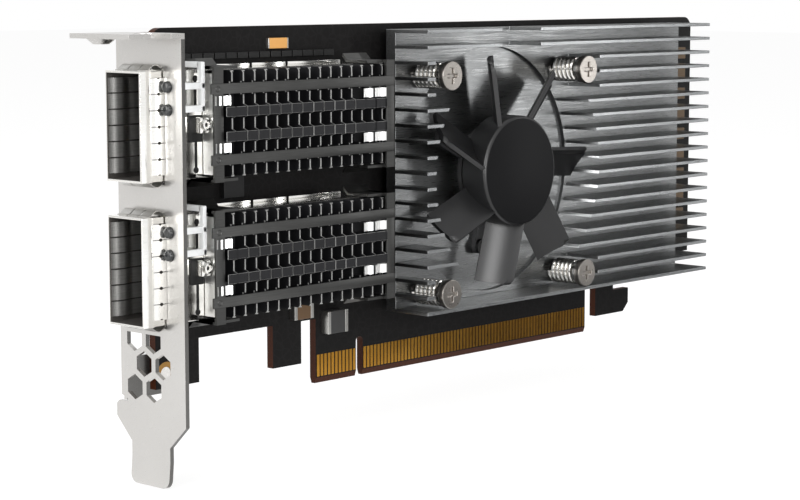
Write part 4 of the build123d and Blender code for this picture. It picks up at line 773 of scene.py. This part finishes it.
def clip_leg_outline(way, start):
    """Outline of a hooked leg, from a place in Y to its flared foot."""
    outer = LEG_SIDE + CLIP_SHEET
    tip = [(outer, LEG_END), (outer + LEG_FLARE, LEG_END + LEG_FLARE),
           (outer + LEG_FLARE - CLIP_SHEET, LEG_END + LEG_FLARE + CLIP_SHEET / 2),
           (LEG_SIDE, LEG_END + CLIP_SHEET / 2)]
    if start == RAIL_FRONT:
        line = [(RAIL_HIGH, RAIL_FRONT), (outer, RAIL_FRONT)] + tip
        line += [(LEG_SIDE, RAIL_BACK), (RAIL_HIGH, RAIL_BACK)]
    else:
        line = [(outer, start)] + tip + [(LEG_SIDE, start)]
    return [(way * w, y) for w, y in line]


def wave(start, end, count, height, base):
    """Rise of a corrugated arm between two places along X."""
    return lambda x: base + height * (0.5 - 0.5 * cos(tau * count * (x - start) / (end - start)))


def arm_width(x):
    return (ARM_HIGH - ARM_LOW) / 2


left_bar = RAIL_LEFT + BAR_INSET
right_bar = RAIL_RIGHT - BAR_WIDTH
# Left end of each bar, and the two ends of its wide legs.
bars = ((left_bar, (left_bar, left_bar + LEG_WIDTH)),
        (right_bar, (RAIL_RIGHT - LEG_WIDTH, RAIL_RIGHT)))
for name, middle in CAGE_MIDDLE.items():
    bm = bmesh.new()
    for left, wide in bars:
        right = left + BAR_WIDTH
        rounded_box(bm, (left, RAIL_FRONT, middle - RAIL_HIGH),
                    (right, RAIL_BACK, middle + RAIL_HIGH), 0.1 * MM)
        for way in (-1, 1):
            slab(bm, middle, clip_leg_outline(way, RAIL_FRONT), left, right)
            slab(bm, middle, clip_leg_outline(way, RAIL_BACK + CLIP_SHEET), *wide)
    for way in (-1, 1):
        low, high = sorted((middle + way * RAIL_LOW, middle + way * RAIL_HIGH))
        rounded_box(bm, (RAIL_LEFT, RAIL_FRONT - RAIL_PROUD, low),
                    (RAIL_RIGHT + RAIL_PROUD, RAIL_BACK - RAIL_PROUD, high), 0.12 * MM)
        turned(bm, RAIL_LEFT + DIMPLE_INSET, (low + high) / 2,
               [(radius * MM, RAIL_FRONT - rise * MM) for radius, rise in DIMPLE_RING],
               steps=24)
    finish_piece("clip_frame_" + name, bm, clip_steel, "card",
                 ["heatsink_clip_" + name])
    # The arms and the end plate get the white steel, a painted highlight.
    bm = bmesh.new()
    for way in (-1, 1):
        z = middle + way * (ARM_LOW + ARM_HIGH) / 2
        for left, right, count, height in ARMS_MM:
            start, end = left * MM, right * MM
            sheet_strip(bm, (0, CAGE_FACE, z), outward, upward, start, end,
                        wave(start, end, count, ARM_WAVE, height * MM), arm_width, ARM_SHEET,
                        steps=24)
    rounded_box(bm, (END_PLATE_LEFT, END_PLATE_FRONT, middle - END_PLATE_HALF),
                (END_PLATE_RIGHT, END_PLATE_BACK, middle + END_PLATE_HALF), 0.08 * MM, 1)
    finish_piece("clip_arms_" + name, bm, arm_painted_highlight, "card")

# Main heatsink: one extruded and milled block of bare aluminium. The saw and the extrusion die
# leave lines along the fins, drawn wider than the real ones to show.

ALUMINIUM = "ABACAC"
ALUMINIUM_DARK = "5E6061"
FIN_EDGE_HIGHLIGHT = "A2A4A5"
SAW_LINE = 0.14 * MM
SAW_LINE_LENGTH = 50 * SAW_LINE
HIGHLIGHT_DEPTH = 0.12 * MM


def sawn_aluminium(front):
    """Bare aluminium with fine lines along the fins; the fins' front edges, near the plane
    Y = front, are painted an even light tone, a painted highlight."""
    m = new_material("bare_aluminium")
    place = add(m, "TexCoord").outputs["Object"]
    scale = (1 / SAW_LINE_LENGTH, 1 / SAW_LINE, 1 / SAW_LINE)
    lines = add(m, "Mapping", {"Vector": place, "Scale": scale})
    streaks = add(m, "TexNoise", {"Vector": lines, "Scale": 1.0, "Detail": 4.0,
                                  "Roughness": 0.65})
    base = add(m, "Mix", {0: streaks, 6: colour(ALUMINIUM_DARK), 7: colour(ALUMINIUM)},
               data_type="RGBA")
    spot = add(m, "SeparateXYZ", {0: place})
    # Painted highlight on the fins' front edges.
    edge = add(m, "Math", {0: spot.outputs["Y"], 1: front + HIGHLIGHT_DEPTH}, operation="LESS_THAN")
    tone = add(m, "Mix", {0: edge, 6: base.outputs[2], 7: colour(FIN_EDGE_HIGHLIGHT)}, data_type="RGBA")
    rough = add(m, "MapRange", {"Value": streaks, "From Min": 0.25, "From Max": 0.75,
                                "To Min": 0.42, "To Max": 0.2})
    bump = add(m, "Bump", {"Height": streaks, "Strength": 0.6, "Distance": 0.01 * MM})
    return show(m, add(m, "BsdfPrincipled", {
        "Base Color": tone.outputs[2], "Metallic": 1.0, "Roughness": rough, "Normal": bump}))


dress("main_heatsink", sawn_aluminium(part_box("main_heatsink")[0].y), edge=0.05 * MM, segments=1)

# Processor and pad: the chip's lid is nickel plated and matt, and a soft grey silicone pad
# between the lid and the heatsink carries the heat across.

dress("network_chip", metal("matt_nickel_lid", "B9B9B7", "8E8E8C", roughness=0.4,
                            grain=0.3 * MM))
dress("thermal_pad", moulded("silicone_pad", "8A8F96", roughness=0.7, grain=0.3 * MM))

# Captive screws: turned steel, nickel plated, each with a cross recess and a coil spring of
# plated wire under a collar. A ring behind the base keeps each screw in place.

SCREW_HEAD_ROUND = 0.18 * MM
SCREW_HEAD_HEIGHT = 1.3 * MM
HEAD_RADIUS = 2.85 * MM
COLLAR = 0.8 * MM
COLLAR_EDGE = 0.1 * MM
WIRE = 0.96 * MM
WIRE_SIDES = 10
COIL_RADIUS = 2.65 * MM
COIL_SEAT = 0.4 * WIRE
COIL_TURNS = 5.5
COIL_STEPS = 24

# The plated heads are a warm satin grey, and the drawn wire is brighter.
screw_steel = metal("nickel_plated_screw", "ABA6A0", "97928D", roughness=0.26, grain=0.4 * MM,
                    spread=0.06, relief=0.0008 * MM)
spring_wire = metal("plated_spring_wire", "F2F0EC", "DEDCD8", roughness=0.16, grain=0.3 * MM,
                    spread=0.04, relief=0.0006 * MM)
dress("captive_screws", screw_steel, edge=SCREW_HEAD_ROUND)
dress("screw_retainers", nickel)
screws_low, screws_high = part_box("captive_screws")
screws_middle = (screws_low + screws_high) / 2
half = (screws_high - screws_low) / 2 - Vector((HEAD_RADIUS, 0, HEAD_RADIUS))
screw_places = [(screws_middle.x + i * half.x, screws_middle.z + k * half.z)
                for i in (-1, 1) for k in (-1, 1)]
head_back = screws_low.y + SCREW_HEAD_HEIGHT
collar_back = head_back + COLLAR
coil_start = collar_back + COIL_SEAT
coil_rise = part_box("screw_springs")[1].y - coil_start - WIRE / 2
steps = round(COIL_TURNS * COIL_STEPS)
inner, rounded = COIL_RADIUS - WIRE, COIL_RADIUS - COLLAR_EDGE
collar = [(inner, head_back), (rounded, head_back), (COIL_RADIUS, head_back + COLLAR_EDGE),
          (COIL_RADIUS, collar_back - COLLAR_EDGE), (rounded, collar_back),
          (inner, collar_back), (inner, head_back)]

bm = bmesh.new()
for x, z in screw_places:
    ring = bmesh.ops.create_circle(bm, radius=WIRE / 2, segments=WIRE_SIDES)["verts"]
    bmesh.ops.translate(bm, vec=(x + COIL_RADIUS - WIRE / 2, coil_start, z), verts=ring)
    loop = list({edge for vert in ring for edge in vert.link_edges})
    bmesh.ops.spin(bm, geom=ring + loop, cent=(x, 0, z), axis=(0, 1, 0),
                   angle=tau * COIL_TURNS, steps=steps, dvec=(0, coil_rise / steps, 0))
    turned(bm, x, z, collar)
bmesh.ops.holes_fill(bm, edges=bm.edges, sides=0)
finish_piece("screw_spring_set", bm, spring_wire, "card", ["screw_springs"])

# Fan rotor: black moulded hub with seven thin cambered blades, turning on a steel shaft that a
# push-on ring holds. A rubber magnet ring is pressed into the hub.

HUB_RADIUS = 11.2 * MM
HUB_WALL = 1.0 * MM
HUB_DEPTH = 5.9 * MM
HUB_ROUND = 0.7 * MM
HUB_ROUND_STEPS = 5
BLADES = 7
BLADE_FIRST = 8.3
BLADE_TIP = 23.15 * MM
BLADE_ROOT = 10.7 * MM
BLADE_THICKNESS = 0.9 * MM
BLADE_FRONT = -13.0 * MM
BLADE_BACK = -7.6 * MM
BLADE_CAMBER = 0.55 * MM
BLADE_ROOT_LEAD = 13.0
BLADE_ROOT_TRAIL = 18.0
BLADE_TIP_TRAIL = 14.5
TIP_ROUND = 1.6 * MM
TIP_ROUND_REACH = 0.8 * MM
CREASE = radians(50)
CHORD_STEPS = 8
FACE_FACING = -0.97

shaft_low, shaft_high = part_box("fan_shaft")
fan_axis = (shaft_low + shaft_high) / 2
hub_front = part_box("fan_rotor")[0].y


def blade_frame(radius, lead, trail):
    """Matrix that lays a unit square on the blade's section at one radius, angles in degrees."""
    middle = radians((lead + trail) / 2)
    swing = 2 * radius * sin(radians(lead - trail) / 2)
    out = Vector((cos(middle), 0, sin(middle)))
    round_axis = Vector((-sin(middle), 0, cos(middle)))
    chord = Vector((0, BLADE_FRONT - BLADE_BACK, 0)) + round_axis * swing
    thick = chord.normalized().cross(out) * BLADE_THICKNESS
    centre = Vector((fan_axis.x, (BLADE_FRONT + BLADE_BACK) / 2, fan_axis.z)) + out * radius
    columns = (chord, thick, out, centre)
    return Matrix([[column[i] for column in columns] for i in range(3)] + [[0, 0, 0, 1]])


def hub_profile():
    """Half section of the hub: a cup with a rounded rim, open toward the board."""
    front, back = hub_front, hub_front + HUB_DEPTH
    turns = [pi / 2 * i / HUB_ROUND_STEPS for i in range(HUB_ROUND_STEPS + 1)]
    corner = [(HUB_RADIUS - HUB_ROUND + HUB_ROUND * sin(t), front + HUB_ROUND * (1 - cos(t)))
              for t in turns]
    inner = HUB_RADIUS - HUB_WALL
    return [(0, front)] + corner + [(HUB_RADIUS, back), (inner, back), (inner, front + HUB_WALL),
                                    (0, front + HUB_WALL)]


def fan_resin():
    """Black resin, glossy on the drawn sides and blades and matt on the textured hub face."""
    m = moulded("matt_black_fan", "1A1A1B", roughness=0.3, grain=0.12 * MM, relief=0.003 * MM)
    facing = add(m, "NewGeometry").outputs["Normal"]
    normal = add(m, "SeparateXYZ", {0: facing})
    front = add(m, "Math", {0: normal.outputs["Y"], 1: FACE_FACING}, operation="LESS_THAN")
    gloss = add(m, "MapRange", {"Value": front, "To Min": 0.45, "To Max": 0.03})
    shader = m.node_tree.nodes["Principled BSDF"]
    m.node_tree.links.new(gloss.outputs[0], shader.inputs["Specular IOR Level"])
    return m


bm = bmesh.new()
turned(bm, fan_axis.x, fan_axis.z, hub_profile(), steps=96)
for i in range(BLADES):
    first = BLADE_FIRST + i * 360 / BLADES
    root = blade_frame(BLADE_ROOT, first + BLADE_ROOT_LEAD, first - BLADE_ROOT_TRAIL)
    tip = blade_frame(BLADE_TIP, first, first - BLADE_TIP_TRAIL)
    square = bmesh.ops.create_grid(bm, x_segments=CHORD_STEPS, y_segments=1, size=0.5)["verts"]
    for vert in square:
        vert.co.y += BLADE_CAMBER / BLADE_THICKNESS * (1 - 4 * vert.co.x ** 2)
    bmesh.ops.transform(bm, matrix=root, verts=square)
    far = pushed_out(bm, list({face for vert in square for face in vert.link_faces}))
    bmesh.ops.transform(bm, matrix=tip @ root.inverted(), verts=far)
    bm.normal_update()
    creases = [edge for edge in {e for vert in square + far for e in vert.link_edges}
               if edge.is_manifold and edge.calc_face_angle(0) > CREASE]
    front_corner = [edge for edge in creases
                    if all(vert in far and vert.co.y < BLADE_FRONT + TIP_ROUND_REACH
                           for vert in edge.verts)
                    and edge.calc_length() < 1.5 * BLADE_THICKNESS]
    bmesh.ops.bevel(bm, geom=front_corner, offset=TIP_ROUND, segments=4, profile=0.5,
                    affect="EDGES", material=-1)
finish_piece("fan_impeller", bm, fan_resin(), "fan", ["fan_rotor"])
dress("fan_magnet_ring", moulded("magnet_rubber", "2A2A2C", roughness=0.6, grain=0.2 * MM))
dress("fan_shaft", nickel)
dress("fan_shaft_clip", nylon)

# Fan motor: laminated core with enamelled copper coils on a small round circuit, all carried by
# a grey moulded base that three black screws hold to the heatsink.

dress("fan_base", moulded("grey_fan_base", "4A4A4B", roughness=0.5, grain=0.15 * MM))
dress("fan_screws", moulded("blackened_screw", "161616", roughness=0.35, grain=0.1 * MM))
dress("fan_bearing", brass)
dress("fan_stator_core", metal("core_laminations", "8C8C8D", "5B5B5C", roughness=0.4,
                               grain=0.1 * MM, stretch=(9, 1, 9)))
dress("fan_coils", metal("enamelled_copper", "B4622E", "7A3C18", roughness=0.25,
                         grain=0.1 * MM, stretch=(1, 9, 1)))
dress("fan_circuit", moulded("green_solder_mask", "14502A", roughness=0.35, grain=0.4 * MM))

# Small parts soldered to the board: moulded capacitors, a choke, memory, a crystal and rows of
# ceramic capacitors. Their end caps are tinned, bright and a little uneven.

YELLOW_EPOXY = "DDA45C"
EPOXY_PAINTED_SHADE = "5C4630"
EPOXY_SHADE_HEIGHT = 30 * MM


def capacitor_epoxy():
    """Moulded yellow epoxy, painted brown on the lower capacitor as a painted shade."""
    m = moulded("capacitor_epoxy", YELLOW_EPOXY, roughness=0.35, grain=0.3 * MM)
    place = add(m, "TexCoord").outputs["Object"]
    spot = add(m, "SeparateXYZ", {0: place})
    upper = add(m, "Math", {0: spot.outputs["Z"], 1: EPOXY_SHADE_HEIGHT}, operation="GREATER_THAN")
    shader = m.node_tree.nodes["Principled BSDF"]
    yellow = shader.inputs["Base Color"].links[0].from_socket
    # Painted shade: the lower capacitor is darkened to brown.
    base = add(m, "Mix", {0: upper, 6: colour(EPOXY_PAINTED_SHADE), 7: yellow}, data_type="RGBA")
    m.node_tree.links.new(base.outputs[2], shader.inputs["Base Color"])
    return m


tin = metal("tinned_ends", "D4D3CF", "A09F9B", roughness=0.25, grain=0.2 * MM)
dress("tantalum_capacitors", capacitor_epoxy(), edge=0.12 * MM)
dress("metal_end_caps", tin, edge=0.08 * MM)
dress("crystal", tin, edge=0.1 * MM)
for node, material_name, tone, roughness, grain, edge in (
        ("chip_choke", "ferrite", "3A3A3A", 0.4, 0.25, 0.15),
        ("small_capacitors", "dark_epoxy", "151515", 0.4, 0.2, 0.08),
        ("rear_capacitors", "brown_ceramic", "5E4A32", 0.4, 0.25, 0.12),
        ("flash_chip", "chip_resin", "1C1C1D", 0.5, 0.2, 0.08)):
    dress(node, moulded(material_name, tone, roughness, grain * MM), edge=edge * MM)

# Studio: white floor and world, soft lamps, dark cards that only reflections see, and the
# photograph's camera.

FLOOR_GAP = 0.3 * MM
FLOOR_SIZE = 6.0
PAPER = "F4F4F4"
GLOW = 1.36
GLOW_SHARE = 0.55
ROOM_LIGHT = 0.55
CAMERA_PLACE = Vector((-302.69, -290.11, 76.76)) * MM
CAMERA_TURN = (82.94, 0.05, -47.32)
CAMERA_LENS = 97.085
SENSOR = 36.0
LOW_CARD = Vector((0.15, -0.1, -0.0098))
card_low, card_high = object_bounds()
centre = (card_low + card_high) / 2


def rays_that_see(tree):
    """1 for the rays that show the room itself: camera, glossy and transmission rays."""
    ray = add(tree, "LightPath")
    direct = add(tree, "Math", {0: ray.outputs["Is Camera Ray"], 1: ray.outputs["Is Glossy Ray"]},
                 operation="MAXIMUM")
    return add(tree, "Math", {0: direct, 1: ray.outputs["Is Transmission Ray"]},
               operation="MAXIMUM")


def flat_sheet(name, bm, material):
    """Makes an object of a flat bmesh for the studio."""
    mesh = bpy.data.meshes.new(name)
    bm.to_mesh(mesh)
    bm.free()
    mesh.materials.append(material)
    sheet = bpy.data.objects.new(name, mesh)
    bpy.context.scene.collection.objects.link(sheet)
    return sheet


bm = bmesh.new()
bmesh.ops.create_grid(bm, x_segments=1, y_segments=1, size=FLOOR_SIZE / 2)
bmesh.ops.translate(bm, vec=(0, 0, card_low.z - FLOOR_GAP), verts=bm.verts)
paper = new_material("white_paper")
matt = add(paper, "BsdfDiffuse", {"Color": colour(PAPER)})
glow = add(paper, "Emission", {"Color": colour("FFFFFF"), "Strength": GLOW})
share = add(paper, "Math", {0: rays_that_see(paper), 1: GLOW_SHARE}, operation="MULTIPLY")
show(paper, add(paper, "MixShader", {0: share, 1: matt, 2: glow}))
floor = flat_sheet("floor", bm, paper)

world = bpy.data.worlds.new("studio")
bpy.context.scene.world = world
world.use_nodes = True
world.node_tree.nodes.clear()
level = add(world, "MapRange", {"Value": rays_that_see(world), "To Min": ROOM_LIGHT,
                                "To Max": 1.0})
sky = add(world, "Background", {"Color": colour("FFFFFF"), "Strength": level})
add(world, "OutputWorld", {"Surface": sky})


def looking(place, target):
    """Turn of a lamp or card at one point that looks at another."""
    return (Vector(target) - Vector(place)).to_track_quat("-Z", "Y")


def softbox(name, place, width, height, power):
    """Area lamp that looks at the middle of the card."""
    lamp = bpy.data.lights.new(name, "AREA")
    lamp.shape = "RECTANGLE"
    lamp.size = width
    lamp.size_y = height
    lamp.energy = power
    holder = bpy.data.objects.new(name, lamp)
    holder.location = place
    holder.rotation_euler = looking(place, centre).to_euler()
    bpy.context.scene.collection.objects.link(holder)


def flag(name, place, target, width, height, tone):
    """Dark card beside the object, seen only in reflections."""
    bm = bmesh.new()
    bmesh.ops.create_grid(bm, x_segments=1, y_segments=1, size=0.5)
    bmesh.ops.scale(bm, vec=(width, height, 1), verts=bm.verts)
    turn = looking(place, target).to_matrix().to_4x4()
    bmesh.ops.transform(bm, matrix=Matrix.Translation(place) @ turn, verts=bm.verts)
    m = new_material(name)
    show(m, add(m, "BsdfDiffuse", {"Color": colour(tone)}))
    card = flat_sheet(name, bm, m)
    card.visible_camera = False
    card.visible_shadow = False
    card.visible_diffuse = False


softbox("top", (-0.5, -0.35, 0.7), width=0.5, height=0.5, power=2.0)
softbox("side", (-0.8, -0.12, 0.25), width=0.3, height=0.5, power=5.0)
softbox("front", (-0.35, -0.75, 0.1), width=0.28, height=0.4, power=4.0)
softbox("strip", (0.213, -0.15, 0.08), width=0.026, height=0.16, power=0.08)
flag("dark_card", (0.216, -0.179, 0.12), centre, width=0.165, height=0.26, tone="1C1C1C")
flag("low_card", LOW_CARD, LOW_CARD + Vector((0, 0, 1)), width=0.19, height=0.17, tone="1C1C1C")
flag("back_card", (0.73, 0.47, 0.1), centre, width=0.3, height=0.5, tone="303030")
flag("camera_card", (-0.6, -0.58, 0.08), centre, width=0.3, height=0.3, tone="202020")

camera_data = bpy.data.cameras.new("camera")
camera_data.lens = CAMERA_LENS
camera_data.sensor_width = SENSOR
camera = bpy.data.objects.new("camera", camera_data)
camera.location = CAMERA_PLACE
camera.rotation_euler = [radians(a) for a in CAMERA_TURN]
bpy.context.scene.collection.objects.link(camera)
bpy.context.scene.camera = camera
bpy.context.scene.view_settings.view_transform = "Standard"
